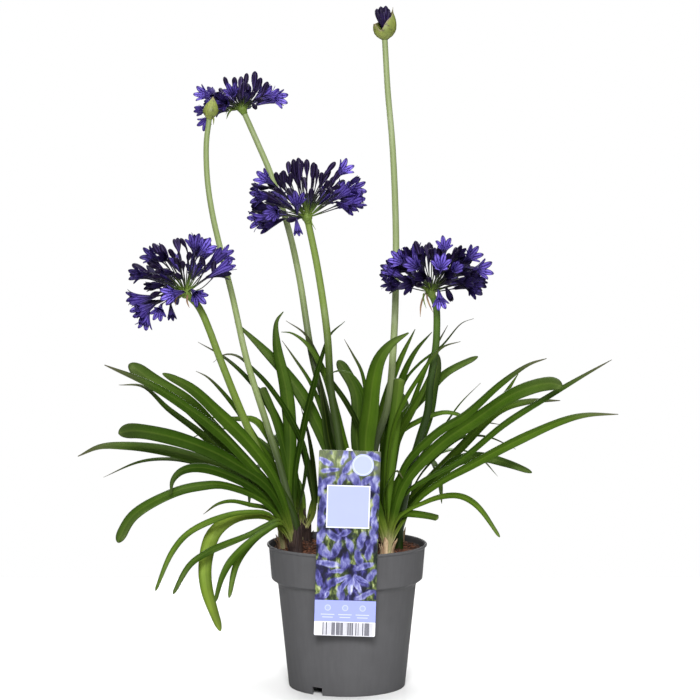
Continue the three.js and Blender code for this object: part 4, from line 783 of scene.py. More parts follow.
def finish_pot():
    """Matt grey plastic, faintly streaked up its side, with a fine grain."""
    f = Finish("pot_grey", 0.55, Specular_IOR_Level=0.02)
    cloud = f.mottle(f.place(), 0.035, 5)
    streak = f.mottle(f.place((1, 1, 0.08)), 0.25, 3)
    grain = f.mottle(f.place(), 2.2, 2)
    tone = f.math("MULTIPLY_ADD", streak, 0.4, f.times(cloud, 0.6))
    f.color(f.ramp(tone, [(0.3, (0.0695, 0.069, 0.072)), (0.7, (0.0865, 0.0865, 0.09))]))
    f.roughness(f.between(f.math("ADD", cloud, f.times(grain, 0.3)), 0.4, 0.9, 0.45, 0.6))
    f.bump(f.math("ADD", grain, f.times(streak, 0.8)), 0.05, 0.5)
    return f.material


def finish_soil():
    """Damp bark and peat, from near black to tan, a tone for each bit."""
    f = Finish("bark_soil", 0.95, Specular_IOR_Level=0.25)
    tone = f.attribute("tone")
    fibre = f.mottle(f.place((1, 1, 2)), 0.5, 6)
    mixed = f.math("MULTIPLY_ADD", fibre, 0.55, f.times(tone, 0.45))
    f.color(f.ramp(mixed, [(0.2, (0.012, 0.006, 0.004)), (0.5, (0.055, 0.02, 0.01)),
                           (0.72, (0.12, 0.045, 0.022)), (0.9, (0.2, 0.1, 0.055))]))
    f.bump(f.mottle(f.place(), 1.4, 6), 0.7)
    return f.material


def finish_leaf():
    """Long veins on a green that is pale at the foot, and darker or brighter from blade to blade, with
    painted shade on one half of each blade and along its margins.
    """
    f = Finish("leaf_green", 0.4, Specular_IOR_Level=0.16, Specular_Tint=(0.75, 0.95, 0.35, 1))
    side, along, tone = f.attribute("across"), f.attribute("along"), f.attribute("tone")
    wide = f.times(side, f.attribute("vein_count"))
    drift = f.mottle(f.place(), 0.03, 3)
    veins = f.math("MULTIPLY_ADD", f.math("COSINE", f.times(wide, 2 * math.pi)), 0.5, 0.5)
    edge = f.math("ABSOLUTE", side)
    midrib = f.between(edge, 0.0, 0.22, 1.0, 0.0)
    lengthways = f.node("ShaderNodeCombineXYZ", {
        0: f.times(wide, 1.3), 1: f.times(along, 3.0), 2: f.times(tone, 9.0)}).outputs[0]
    streak = f.mottle(lengthways, 1.0, 3)
    shade = f.math("ADD", f.times(tone, 0.62), f.math(
        "ADD", f.times(drift, 0.3), f.times(streak, 0.22)))
    green = f.ramp(shade, [(0.1, (0.0045, 0.009, 0.0012)), (0.3, (0.0105, 0.028, 0.0016)),
                           (0.46, (0.022, 0.053, 0.003)), (0.7, (0.052, 0.102, 0.007)),
                           (0.95, (0.15, 0.215, 0.022))])
    # painted shade: one half of each blade, on one side of its middle, is darkened as if turned from the
    # light
    green = f.mix(f.between(side, -0.1, 0.1, 0.0, 0.3), green, (0.005, 0.015, 0.001))
    lined = f.mix(f.times(veins, 0.1), green, (0.012, 0.03, 0.002))
    # painted shade: the blade is darkened towards its margins, so that its middle reads as lit
    lined = f.mix(f.between(edge, 0.3, 1.0, 0.0, 0.45), lined, (0.012, 0.03, 0.002))
    lined = f.mix(f.times(midrib, 0.16), lined, (0.13, 0.18, 0.03))
    run = f.math("MULTIPLY_ADD", drift, -26.0, f.attribute("run"))
    pale = f.mix(f.between(run, 12, 36), (0.5, 0.42, 0.24), (0.16, 0.2, 0.03))
    foot = f.times(f.between(run, 20, 58, 1.0, 0.0), f.between(streak, 0.36, 0.6, 0.15, 1.0))
    rooted = f.mix(foot, lined, pale)
    f.color(f.mix(f.attribute("dry_tip_and_painted_shade"), rooted, (0.06, 0.047, 0.036)))
    f.roughness(f.between(f.mottle(f.place(), 0.2, 3), 0.3, 0.7, 0.36, 0.5))
    f.bump(f.math("ADD", f.times(veins, 0.5), streak), 0.12, 0.45)
    return f.material


def finish_stem():
    """Streaked green with a pale bloom, with painted shade low down where leaves stand close round it."""
    f = Finish("stem_green", 0.45, Specular_IOR_Level=0.2)
    tone = f.attribute("tone")
    streak = f.mottle(f.place((1, 1, 0.03)), 0.6, 4)
    bloom = f.mottle(f.place((1, 1, 0.3)), 0.08, 3)
    base = f.ramp(tone, [(0.0, (0.06, 0.115, 0.015)), (0.3, (0.115, 0.172, 0.022)),
                         (0.6, (0.155, 0.215, 0.045)), (1.0, (0.24, 0.29, 0.13))])
    shaded = f.mix(f.times(streak, 0.35), base, (0.05, 0.09, 0.018))
    frost = f.times(f.between(bloom, 0.45, 0.75), f.times(tone, 0.3))
    frosted = f.mix(frost, shaded, (0.42, 0.46, 0.33))
    # painted shade: the colour goes near black below the height that STEMS gives, where the leaves crowd
    # round the stem
    low = f.times(f.attribute("dry_tip_and_painted_shade"), f.math("MULTIPLY_ADD", tone, -0.12, 0.95))
    f.color(f.mix(low, frosted, (0.01, 0.024, 0.002)))
    f.bump(streak, 0.15, 0.5)
    return f.material


def finish_husk(name, dark, light):
    """Dry sheath, streaked along its length."""
    f = Finish(name, 0.75, Specular_IOR_Level=0.3)
    streak = f.mottle(f.place((1, 1, 0.06)), 0.7, 5)
    patch = f.mottle(f.place(), 0.09, 3)
    f.color(f.ramp(f.math("MULTIPLY_ADD", streak, 0.6, f.times(patch, 0.4)),
                   [(0.35, dark), (0.65, light)]))
    f.bump(streak, 0.35, 0.8)
    return f.material


def finish_floret():
    """Deep violet petals with paler stripes beside a dark midline; closed florets near black, with a painted
    sheen that is lighter on every other panel and towards the foot.
    """
    f = Finish("floret_violet", 0.46, Specular_IOR_Level=0.1)
    u, v, tone = f.attribute("petal_along"), f.attribute("petal_across"), f.attribute("tone")
    closed, inner = f.attribute("closed"), f.attribute("inner")
    drift = f.mottle(f.place(), 0.3, 3)
    side = f.math("ABSOLUTE", v)
    stripe = f.times(f.between(side, 0.04, 0.32), f.between(side, 0.6, 0.95, 1.0, 0.0))
    tip = f.between(u, 0.86, 1.0, 1.0, 0.0)
    lively = f.math("MULTIPLY_ADD", tone, 0.75, f.times(drift, 0.5))
    light = f.times(f.times(stripe, tip), f.between(lively, 0.35, 1.05, 0.04, 1.0))
    body = f.ramp(u, [(0.0, (0.012, 0.007, 0.025)), (0.3, (0.008, 0.004, 0.032)),
                      (0.65, (0.028, 0.013, 0.155)), (1.0, (0.014, 0.006, 0.08))])
    moody = f.mix(f.between(lively, 0.22, 0.95, 0.95, 0.0), body, (0.004, 0.002, 0.011))
    pale = f.times(light, f.between(inner, 0.0, 1.0, 0.45, 0.9))
    streaked = f.mix(pale, moody, (0.225, 0.165, 0.66))
    # painted sheen: on closed florets every other panel round the bud, and its lower part, are lightened as a
    # highlight
    painted_sheen = f.times(f.between(side, 0.4, 1.0, 1.0, 0.0), f.between(u, 0.1, 0.9, 1.0, 0.25))
    shut = f.mix(f.times(painted_sheen, f.between(lively, 0.15, 1.0, 0.2, 1.0)),
                 (0.006, 0.003, 0.014), (0.085, 0.055, 0.21))
    f.color(f.mix(closed, streaked, shut))
    f.bump(f.math("SINE", f.times(v, 17.0)), 0.08, 0.5)
    return f.material


def finish_stalk():
    """Green at the root, purple-black where the floret joins."""
    f = Finish("stalk_green", 0.5, Specular_IOR_Level=0.2)
    along = f.attribute("along")
    drift = f.mottle(f.place(), 0.3, 3)
    f.color(f.ramp(f.math("MULTIPLY_ADD", drift, 0.25, along), [
        (0.1, (0.16, 0.23, 0.04)), (0.36, (0.06, 0.1, 0.016)), (0.58, (0.02, 0.024, 0.012)),
        (1.0, (0.01, 0.006, 0.024))]))
    return f.material


def finish_spathe():
    """Lime sheath with fine veins, a dry tip and rusty specks."""
    f = Finish("spathe_lime", 0.5, Specular_IOR_Level=0.3)
    rim, side = f.attribute("along"), f.attribute("across")
    vein = f.math("MULTIPLY_ADD", f.math("SINE", f.times(side, 46.0)), 0.5, 0.5)
    patch = f.mottle(f.place((1, 1, 0.5)), 0.12, 4)
    lime = f.ramp(patch, [(0.3, (0.12, 0.15, 0.03)), (0.7, (0.22, 0.25, 0.055))])
    lined = f.mix(f.times(vein, 0.16), lime, (0.1, 0.13, 0.03))
    dry = f.times(f.between(f.math("MULTIPLY_ADD", patch, 0.3, rim), 0.95, 1.15), 0.8)
    tipped = f.mix(dry, lined, (0.2, 0.16, 0.1))
    speck = f.between(f.mottle(f.place((1, 1, 0.6)), 0.6, 3), 0.55, 0.65)
    worn = f.between(f.mottle(f.place(), 0.14, 2), 0.35, 0.5)
    rust = f.times(f.times(speck, worn), 0.9)
    f.color(f.mix(rust, tipped, (0.07, 0.05, 0.035)))
    f.bump(vein, 0.1, 0.6)
    return f.material


def finish_label_plastic():
    """The label's bare white plastic, faintly clouded."""
    f = Finish("label_white", 0.35, Specular_IOR_Level=0.5)
    white = (0.72, 0.72, 0.71)
    f.color(f.mix(f.mottle(f.place(), 0.05, 2), white, tuple(0.88 * c for c in white)))
    return f.material


def finish_label():
    """A soft print of blue petals and leaves, a plain pale panel, a band and a strip of bars.
    The UV map is millimetres from the label's lower left corner."""
    f = Finish("label_print", 0.35, Specular_IOR_Level=0.22)
    uv = f.node("ShaderNodeSeparateXYZ", {0: f.uv()})
    x, y = uv.outputs[0], uv.outputs[1]
    wobble = f.node("ShaderNodeTexNoise", {"Vector": f.uv(), "Scale": 0.09, "Detail": 3.0}).outputs["Color"]
    bent = f.node("ShaderNodeVectorMath", {0: wobble, 1: (7.0, 7.0, 0.0), 2: f.uv()},
                  operation="MULTIPLY_ADD").outputs[0]
    streaks = f.mottle(f.node("ShaderNodeMapping", {
        "Vector": bent, "Scale": (1, 0.45, 1), "Rotation": (0, 0, 0.7)}).outputs[0], 0.16, 5)

    def inside(value, low, high):
        return f.times(f.math("GREATER_THAN", value, low), f.math("LESS_THAN", value, high))

    def box(x0, x1, y0, y1):
        return f.times(inside(x, x0, x1), inside(y, y0, y1))

    def disc(cx, cy, radius):
        dx, dy = f.math("SUBTRACT", x, cx), f.math("SUBTRACT", y, cy)
        away = f.math("SQRT", f.math("MULTIPLY_ADD", dx, dx, f.times(dy, dy)))
        return f.math("LESS_THAN", away, radius)

    def petal(cx, cy, length, width, turn):
        """How much of a long petal is here, and how far from its middle line."""
        place = f.node("ShaderNodeMapping", {
            "Vector": bent, "Location": (cx + 3.5, cy + 3.5, 0.0), "Rotation": (0, 0, math.radians(turn)),
            "Scale": (length, width, 1)}, vector_type="TEXTURE").outputs[0]
        flat = f.node("ShaderNodeVectorMath", {0: place, 1: (1, 1, 0)}, operation="MULTIPLY").outputs[0]
        out = f.node("ShaderNodeVectorMath", {0: flat}, operation="LENGTH").outputs["Value"]
        off_middle = f.math("ABSOLUTE", f.node("ShaderNodeSeparateXYZ", {0: flat}).outputs[1])
        return f.between(out, 0.72, 1.12, 1.0, 0.0), off_middle

    leafy = f.ramp(streaks, [(0.4, (0.005, 0.009, 0.008)), (0.5, (0.03, 0.045, 0.014)),
                             (0.58, (0.15, 0.19, 0.055)), (0.68, (0.42, 0.46, 0.26))])
    dusky = f.ramp(streaks, [(0.4, (0.003, 0.003, 0.01)), (0.5, (0.009, 0.008, 0.045)),
                             (0.6, (0.04, 0.036, 0.17)), (0.7, (0.2, 0.2, 0.42))])
    where = f.math("MULTIPLY_ADD", f.between(y, 145, 185), 0.08, f.mottle(bent, 0.055, 2))
    picture = f.mix(f.between(where, 0.46, 0.53), dusky, leafy)
    picture = f.mix(f.between(y, 155, 180, 0.0, 0.35), picture, (0.24, 0.28, 0.16))
    for cx, cy, length, width, turn, light in PRINTED_PETALS:
        mask, off_middle = petal(cx, cy, length, width, turn)
        tone = f.math("MULTIPLY_ADD", streaks, 2.2, f.math("MULTIPLY_ADD", off_middle, 0.3, -0.75))
        shade = f.ramp(tone, [
            (0.15, (0.006 + 0.04 * light, 0.005 + 0.04 * light, 0.04 + 0.16 * light)),
            (0.45, (0.032 + 0.14 * light, 0.026 + 0.15 * light, 0.18 + 0.26 * light)),
            (0.85, (0.13 + 0.4 * light, 0.13 + 0.42 * light, 0.4 + 0.3 * light))])
        picture = f.mix(f.times(mask, 0.92), picture, shade)
    art = f.mix(box(*BLUE_BAND), picture, (0.27, 0.305, 0.66))
    for cx, cy in BAND_RINGS:
        art = f.mix(disc(cx, cy, 3.2), art, (0.42, 0.46, 0.74))
        art = f.mix(disc(cx, cy, 2.3), art, (0.3, 0.34, 0.68))
        art = f.mix(box(cx - 7, cx + 7, 21.9, 22.7), art, (0.5, 0.54, 0.8))
        art = f.mix(box(cx - 5.5, cx + 5.5, 19, 19.8), art, (0.5, 0.54, 0.8))
    art = f.mix(box(*BAR_STRIP), art, (0.7, 0.7, 0.76))
    column = f.math("FLOOR", f.times(x, 1.7))
    bar = f.node("ShaderNodeTexNoise", {
        "W": f.times(column, 3.7), "Scale": 5.0, "Detail": 0.0}, noise_dimensions="1D").outputs["Fac"]
    art = f.mix(f.times(f.between(bar, 0.44, 0.54), box(*BARS)), art, (0.03, 0.03, 0.05))
    art = f.mix(box(*PANEL_EDGE), art, (0.7, 0.72, 0.82))
    art = f.mix(box(*PANEL_FIELD), art, (0.34, 0.375, 0.64))
    for radius, color in ((11.3, (0.4, 0.44, 0.66)), (10.0, (0.52, 0.56, 0.76)), (9.3, (0.37, 0.41, 0.65))):
        art = f.mix(disc(*DISC, radius), art, color)
    f.color(art)
    return f.material


# ------------------------------------------------------------------ pot, soil and label
def lathe(name, profile, sides, material):
    """A solid turned about the pot's axis; a profile point at radius 0 closes it."""
    angles = np.linspace(0, 2 * math.pi, sides, endpoint=False)
    vertices, rings = [], []
    for radius, height in profile:
        ring = [(0, 0, height)] if radius == 0 else [
            (radius * math.cos(a), radius * math.sin(a), height) for a in angles]
        rings.append(list(range(len(vertices), len(vertices) + len(ring))))
        vertices.extend(ring)
    faces = []
    for low, high in zip(rings[:-1], rings[1:]):
        for i in range(sides):
            j = (i + 1) % sides
            if len(low) == 1:
                faces.append((low[0], high[j], high[i]))
            elif len(high) == 1:
                faces.append((low[i], low[j], high[0]))
            else:
                faces.append((low[i], low[j], high[j], high[i]))
    obj = make_object(name, vertices, faces, [material])
    recalculate_outward(obj)
    return obj


def round_corners(profile, radius, steps=4):
    """The profile with each inner corner drawn as a short curve."""
    p = [np.array(point, float) for point in profile]
    out = [p[0]]
    for before, corner, after in zip(p[:-2], p[1:-1], p[2:]):
        reach = min(radius, 0.42 * np.linalg.norm(corner - before), 0.42 * np.linalg.norm(after - corner))
        start, end = corner + unit(before - corner) * reach, corner + unit(after - corner) * reach
        for t in np.linspace(0, 1, steps):
            out.append((1 - t) ** 2 * start + 2 * t * (1 - t) * corner + t ** 2 * end)
    out.append(p[-1])
    return out


def box_cutter(size, centre, degrees):
    """A block to cut with, turned about the pot's axis."""
    corners = np.array([(x, y, z) for x in (-1, 1) for y in (-1, 1) for z in (-1, 1)]) * np.array(size) / 2
    corners = corners + np.array(centre)
    a = math.radians(degrees)
    turned = corners @ np.array([[math.cos(a), math.sin(a), 0], [-math.sin(a), math.cos(a), 0], [0, 0, 1]])
    faces = [(0, 1, 3, 2), (4, 6, 7, 5), (0, 4, 5, 1), (2, 3, 7, 6), (0, 2, 6, 4), (1, 5, 7, 3)]
    return make_object("cutter", turned, faces, smooth=False)


def cut(obj, cutters):
    """Takes the cutters' space out of a solid, and removes them."""
    cutter = join("cutter", cutters)
    recalculate_outward(cutter)
    modifier = obj.modifiers.new("cut", "BOOLEAN")
    modifier.operation = "DIFFERENCE"
    modifier.solver = "EXACT"
    modifier.object = cutter
    mesh = bpy.data.meshes.new_from_object(obj.evaluated_get(bpy.context.evaluated_depsgraph_get()))
    obj.modifiers.clear()
    obj.data = mesh
    bpy.data.objects.remove(cutter)


def make_pot(material):
    """Turned from its section, then cut for the notches in its skirt and the holes in its floor."""
    wall = POT_WALL
    section = [
        (0, POT_FLOOR_UNDERSIDE), (POT_BASE_RADIUS - 2.4, POT_FLOOR_UNDERSIDE), (POT_BASE_RADIUS - 1.8, 0),
        (POT_BASE_RADIUS - 0.6, 0), (POT_BASE_RADIUS, 3.5), (73.3, 108.5), (75, 112), (80, 115),
        (80.4, POT_BAND_BOTTOM + 1), (83, 149), (POT_RIM_RADIUS, 150.3), (POT_RIM_RADIUS, 151.8),
        (84.2, POT_HEIGHT), (83, POT_HEIGHT), (82, 151), (80.4 - wall, POT_BAND_BOTTOM + 2.4),
        (73.6 - wall, 112), (POT_BASE_RADIUS - wall, POT_FLOOR_UNDERSIDE + wall),
        (0, POT_FLOOR_UNDERSIDE + wall)]
    pot = lathe("nursery_pot", round_corners(section, POT_CORNER_RADIUS), POT_SIDES, material)
    cutters = [box_cutter((NOTCH_WIDTH, 12, 2 * NOTCH_HEIGHT), (0, -POT_BASE_RADIUS, 0), angle)
               for angle in NOTCH_ANGLES]
    for i in range(DRAIN_COUNT):
        angle = 2 * math.pi * (i + 0.5) / DRAIN_COUNT
        drain = lathe("drain", [(0, 5), (DRAIN_RADIUS, 5), (DRAIN_RADIUS, 14), (0, 14)], 32, material)
        drain.data.transform(Matrix.Translation(
            Vector((DRAIN_CIRCLE * math.cos(angle), DRAIN_CIRCLE * math.sin(angle), 0)) * MM))
        cutters.append(drain)
    cut(pot, cutters)
    pot.data.shade_smooth()
    pot.data.set_sharp_from_angle(angle=math.radians(35))
    return pot


def soil_height(x, y):
    """How high the soil stands: a mound under each clump, and lumps all over."""
    mound = 3.5 * np.exp(-((np.abs(x) - 52) ** 2 + y * y) / 900)
    lumps = np.sin(x * 0.21 + 1.3) * np.cos(y * 0.17 - 0.6) + 0.6 * np.sin(x * 0.43 - y * 0.37)
    return SOIL_TOP + mound + SOIL_BUMP * 0.6 * lumps


def make_soil(material, litter_tree):
    """The lumpy ground down to the pot's floor, strewn with bark and fibres."""
    angles = np.linspace(0, 2 * math.pi, SOIL_SIDES, endpoint=False)
    vertices = []
    bottom = POT_FLOOR_UNDERSIDE + POT_WALL + 0.3
    side = [(POT_BASE_RADIUS - POT_WALL - 0.9, bottom), (71.2, 112), (77.6, 119.5)]
    for radius, height in side:
        vertices.extend((radius * math.cos(a), radius * math.sin(a), height) for a in angles)
    for ring in range(SOIL_RINGS):
        radius = SOIL_RADIUS * (1 - ring / SOIL_RINGS)
        for a in angles:
            x, y = radius * math.cos(a), radius * math.sin(a)
            rough = 0.9 * (math.sin(x * 1.9 + y * 0.7) * math.sin(y * 1.7 - x * 0.4)
                           + 0.5 * math.sin(x * 3.7 - y * 2.9))
            vertices.append((x, y, soil_height(x, y) + rough))
    faces = grid_faces(len(side) + SOIL_RINGS, SOIL_SIDES, closed=True)
    last = (len(side) + SOIL_RINGS - 1) * SOIL_SIDES
    vertices.append((0, 0, soil_height(0, 0)))
    faces += [(last + i, last + (i + 1) % SOIL_SIDES, len(vertices) - 1) for i in range(SOIL_SIDES)]
    faces.append(list(range(SOIL_SIDES))[::-1])
    ground = make_object("ground", vertices, faces, [material])
    recalculate_outward(ground)
    set_attribute(ground.data, "tone", np.full(len(ground.data.vertices), 0.25))
    chip, fibre = make_chip(), make_fibre()
    chips = grow(make_bed(), litter_tree, {
        "Bit": chip, "Density": CHIP_DENSITY, "Seed": 4, "Smallest": 0.35, "Largest": 1.15, "Tilt": 0.55,
        "Material": material}, "chips")
    fibres = grow(make_bed(), litter_tree, {
        "Bit": fibre, "Density": FIBRE_DENSITY, "Seed": 9, "Smallest": 0.5, "Largest": 1.2, "Tilt": 0.3,
        "Material": material}, "fibres")
    for bit in (chip, fibre):
        bpy.data.objects.remove(bit)
    return join("bark_soil", [ground, chips, fibres])


def make_bed():
    """The patch of ground that the bits are strewn over, inside the pot's wall."""
    steps = np.linspace(1 - LITTER_RADIUS, LITTER_RADIUS - 1, LITTER_STEPS)
    points = [(x, y, soil_height(x, y) + 0.6) for x in steps for y in steps]
    quads = [face for face in grid_faces(LITTER_STEPS, LITTER_STEPS)
             if all(math.hypot(points[i][0], points[i][1]) < LITTER_RADIUS for i in face)]
    return make_object("bed", points, quads, smooth=False)


def make_chip():
    """One flake of bark, a split and bent slab."""
    outline = [(-4.6, -1.2), (-2.0, -2.0), (1.8, -1.7), (4.9, -0.4), (3.6, 1.5), (0.4, 2.1), (-3.2, 1.4)]
    top = [(x * 0.86, y * 0.8, 0.8 + 0.25 * noise(i, 2) + 0.1 * abs(x) * 0.5)
           for i, (x, y) in enumerate(outline)]
    low = [(x, y, -0.7 + 0.1 * abs(x)) for x, y in outline]
    n = len(outline)
    faces = [(i, (i + 1) % n, n + (i + 1) % n, n + i) for i in range(n)]
    faces += [list(range(n))[::-1], list(range(n, 2 * n))]
    chip = make_object("chip", low + top, faces)
    recalculate_outward(chip)
    return chip


def make_fibre():
    """One dry root or thread."""
    points = [(-8, 0, 0), (-4, 1.2, 0.5), (0, 0.4, 1.0), (4, -1.2, 0.6), (8, 0.5, 0.1)]
    return tube_object("fibre", points, (0.35, 0.2), 5)


def tube_object(name, points, radii, sides, rows=10):
    """A round thread along points, from the first radius to the second."""
    path, tangents, share, _ = smooth_path(points, rows)
    vertices = []
    side = across(tangents[0], np.array([0.3, 0.2, 1.0]))[0]
    for at, along, s in zip(path, tangents, share):
        u, v = across(along, side)
        side = u
        radius = mix(*radii, s)
        vertices.extend(at + radius * (u * math.cos(a) + v * math.sin(a))
                        for a in np.linspace(0, 2 * math.pi, sides, endpoint=False))
    return make_object(name, vertices, tube_faces(rows, sides))


def label_point(x, z, depth):
    """A point of the label, x and z from its centre before it is rolled."""
    a = math.radians(LABEL_ROLL)
    across_x = LABEL_CENTRE[0] + x * math.cos(a) - z * math.sin(a)
    height = LABEL_CENTRE[1] + x * math.sin(a) + z * math.cos(a)
    return (across_x, LABEL_FRONT + LABEL_LEAN * (height - POT_HEIGHT) + depth, height)


def make_label(print_material, white_material):
    """The printed sheet with rounded corners and soft edges, and the stake behind it."""
    half_x, half_z = LABEL_WIDTH / 2, LABEL_HEIGHT / 2
    outline = []
    for sx, sz, start in ((1, -1, -90), (1, 1, 0), (-1, 1, 90), (-1, -1, 180)):
        for step in range(5):
            a = math.radians(start + 22.5 * step)
            outline.append(((half_x - LABEL_CORNER) * sx + LABEL_CORNER * math.cos(a),
                            (half_z - LABEL_CORNER) * sz + LABEL_CORNER * math.sin(a)))
    layers = [(0.0, 0.12), (-0.12, 0.0), (-LABEL_THICKNESS + 0.12, 0.0), (-LABEL_THICKNESS, 0.12)]
    vertices = []
    for depth, inset in layers:
        for x, z in outline:
            vertices.append(label_point(x - math.copysign(inset, x), z - math.copysign(inset, z), depth))
    n = len(outline)
    faces = grid_faces(len(layers), n, closed=True)
    faces += [list(range(n)), list(range((len(layers) - 1) * n, len(layers) * n))]
    sheet = make_object("sheet", vertices, faces, [print_material, white_material], smooth=False)
    recalculate_outward(sheet)
    uv = sheet.data.uv_layers.new(name="UVMap")
    flat = [(x + half_x, z + half_z) for _ in layers for x, z in outline]
    for polygon in sheet.data.polygons:
        polygon.material_index = 0 if polygon.normal.y < -0.5 else 1
        for loop in polygon.loop_indices:
            index = sheet.data.loops[loop].vertex_index
            uv.data[loop].uv = flat[index]
    top_x, top_y, top_z = label_point(0, half_z, 0)
    half, t = STAKE_WIDTH / 2, STAKE_THICKNESS
    sections = [(0, STAKE_FOOT, PLANT_BOTTOM, 0.35), (0, STAKE_FOOT - 1.7, PLANT_BOTTOM + 12, 1.0),
                (top_x, top_y - 0.4, top_z - 6, 1.0), (top_x, top_y - 0.4, top_z - 2, 0.75),
                (top_x - 1, top_y - 0.4, STAKE_TIP - 2.6, 0.42),
                (top_x - 1, top_y - 0.4, STAKE_TIP - 2, 0.3)]
    points = []
    for x, y, z, scale in sections:
        points.extend([(x - half * scale, y, z), (x + half * scale, y, z),
                       (x + half * scale, y + t, z), (x - half * scale, y + t, z)])
    faces = grid_faces(len(sections), 4, closed=True)
    faces += [(3, 2, 1, 0), tuple(range(len(points) - 4, len(points)))]
    stake = make_object("stake", points, faces, [white_material], smooth=False)
    recalculate_outward(stake)
    return join("printed_label", [sheet, stake])


# ------------------------------------------------------------------ leaves
def blade_path(foot, blades, blade):
    """A blade's way from its root to its tip. The further back its tip lies among the fan's blades,
    the further back it starts."""
    tip_depth, points = blade[3:5]
    side = math.copysign(1, points[-1][0] - foot[0])
    rank = sum(other[3] < tip_depth for other in blades) / (len(blades) - 1) - 0.5
    start = (foot[0] + 3 * side, foot[1] + FAN_DEPTH * rank, LEAF_COLLAR)
    root = (foot[0] + 1.5 * side, foot[1] + 0.8 * FAN_DEPTH * rank, LEAF_ROOT)
    path = [root, start]
    for i, (x, z) in enumerate(points):
        share = ((i + 1) / len(points)) ** 1.15
        path.append((x, start[1] + (tip_depth - start[1]) * share, z))
    return path


def blade_half_width(width, tip, share, length):
    """Half a blade's width along it: narrow where it is sheathed, and ended as its tip says."""
    run, to_tip = share * length, (1 - share) * length
    sheathed = 0.36 + 0.64 * np.clip((run - 20) / (0.5 * length), 0, 1) ** 0.85
    if tip == "point":
        shape = 1 - 0.93 * np.clip((share - 0.5) / 0.5, 0, 1) ** 2.6
    elif tip == "taper":
        shape = 1 - 0.55 * np.clip((share - 0.55) / 0.45, 0, 1) ** 2.2
        shape = shape * np.sqrt(np.clip(1 - (1 - np.clip(to_tip / width / 0.8, 0, 1)) ** 2, 0.004, 1))
    elif tip == "round":
        shape = np.sqrt(np.clip(1 - (1 - np.clip(to_tip / width, 0, 1)) ** 2, 0.004, 1))
    else:
        shape = (1 - 0.3 * np.clip(share - 0.7, 0, 1)) * np.sqrt(np.clip(to_tip / 1.5, 0.05, 1))
    return np.maximum(0.3, width * sheathed * shape / 2)


def blade_guide(foot, blades, blade, index, seed):
    """A blade's centre line, with how wide and how green it is and which way it faces."""
    width, edgeways, tip, _, _, *bright = blade
    crowding = 1.25 if tip == "point" else 1.6
    path, along, share, length = smooth_path(blade_path(foot, blades, blade), BLADE_ROWS, crowding)
    ends = path[-1] - path[0]
    side = unit(np.array([-ends[1], ends[0], 0.0]))
    top = unit(np.cross(along, side))
    facing = np.cross(along, top)
    facing = np.where(facing[:, 1:2] > 0, -facing, facing)
    turn = math.radians(edgeways) + 0.12 * np.sin(share * 5 + 6 * noise(index, seed))[:, None]
    normal = unit(top * np.cos(turn) + facing * np.sin(turn))
    half = blade_half_width(width, tip, share, length)
    half = half * (1 + 0.025 * np.sin(share * length / 9 + 9 * noise(index, seed + 1)))
    tone = bright[0] if bright else 0.2 + 0.5 * noise(index, seed + 2)
    weathered = 0.85 if tip == "point" and (abs(path[-1][0]) > 200 or width <= 8) else 0.2
    return {
        "points": path, "breadth": np.cross(normal, along), "topside": normal,
        "half_width": half * MM, "cup": 0.5 - 0.24 * share + 0.75 * np.clip(1 - share / 0.45, 0, 1),
        "along": share, "run": share * length, "tone": tone, "vein_count": max(2.0, width * 0.42),
        "dry_tip_and_painted_shade": weathered * np.clip((share - 0.8) / 0.2, 0, 1) ** 1.3}


def husk_guides(foot, seed, count, height):
    """The dry sheaths round a fan's foot: short, deeply cupped straps, torn off at uneven heights."""
    guides = []
    base = np.array([foot[0], foot[1], 0.0])
    for i in range(count):
        angle = 2 * math.pi * (i + 0.7 * noise(i, seed)) / count
        out = np.array([math.cos(angle), math.sin(angle), 0.0])
        top = HUSK_TOP + height * noise(i, seed + 1) ** 1.5
        flare = 0.85 + 0.75 * noise(i, seed + 2) ** 2
        points = [base + out * np.array(HUSK_ROUND) * s + (0, 0, z) for s, z in (
            (1.0, LEAF_ROOT), (1.08, 140), (0.95, LEAF_COLLAR), (flare, top))]
        path, _, share, length = smooth_path(points, 14)
        torn = np.sqrt(np.clip(1 - share ** 9, 0.02, 1))
        width = (3.4 + 2.6 * noise(i, seed + 4)) * (1 - 0.45 * share) * torn
        guides.append({
            "points": path, "breadth": np.tile(unit(np.cross(-out, UP)), (len(path), 1)),
            "topside": np.tile(-out, (len(path), 1)), "half_width": width * MM, "cup": 0.5,
            "along": share, "run": share * length, "tone": noise(i, seed + 3), "vein_count": 4.0,
            "dry_tip_and_painted_shade": 0.0})
    return guides


def make_fan(name, foot, blades, index, strap_tree, leaf_material, husk_material, husks_of):
    """A fan of blades and the dry sheaths round its foot: husks_of is how many there are, and how
    much their heights differ."""
    guides = [blade_guide(foot, blades, blade, i, 10 * index + 1) for i, blade in enumerate(blades)]
    leaves = grow_straps("leaves", guides, strap_tree, BLADE_SIDES, BLADE_THICKNESS * 2, leaf_material,
                         keel=0.0)
    husks = grow_straps("husks", husk_guides(foot, 10 * index + 5, *husks_of), strap_tree, HUSK_SIDES,
                        0.08, husk_material)
    return join(name.replace("leaf_fan", "leaves"), [leaves, husks])


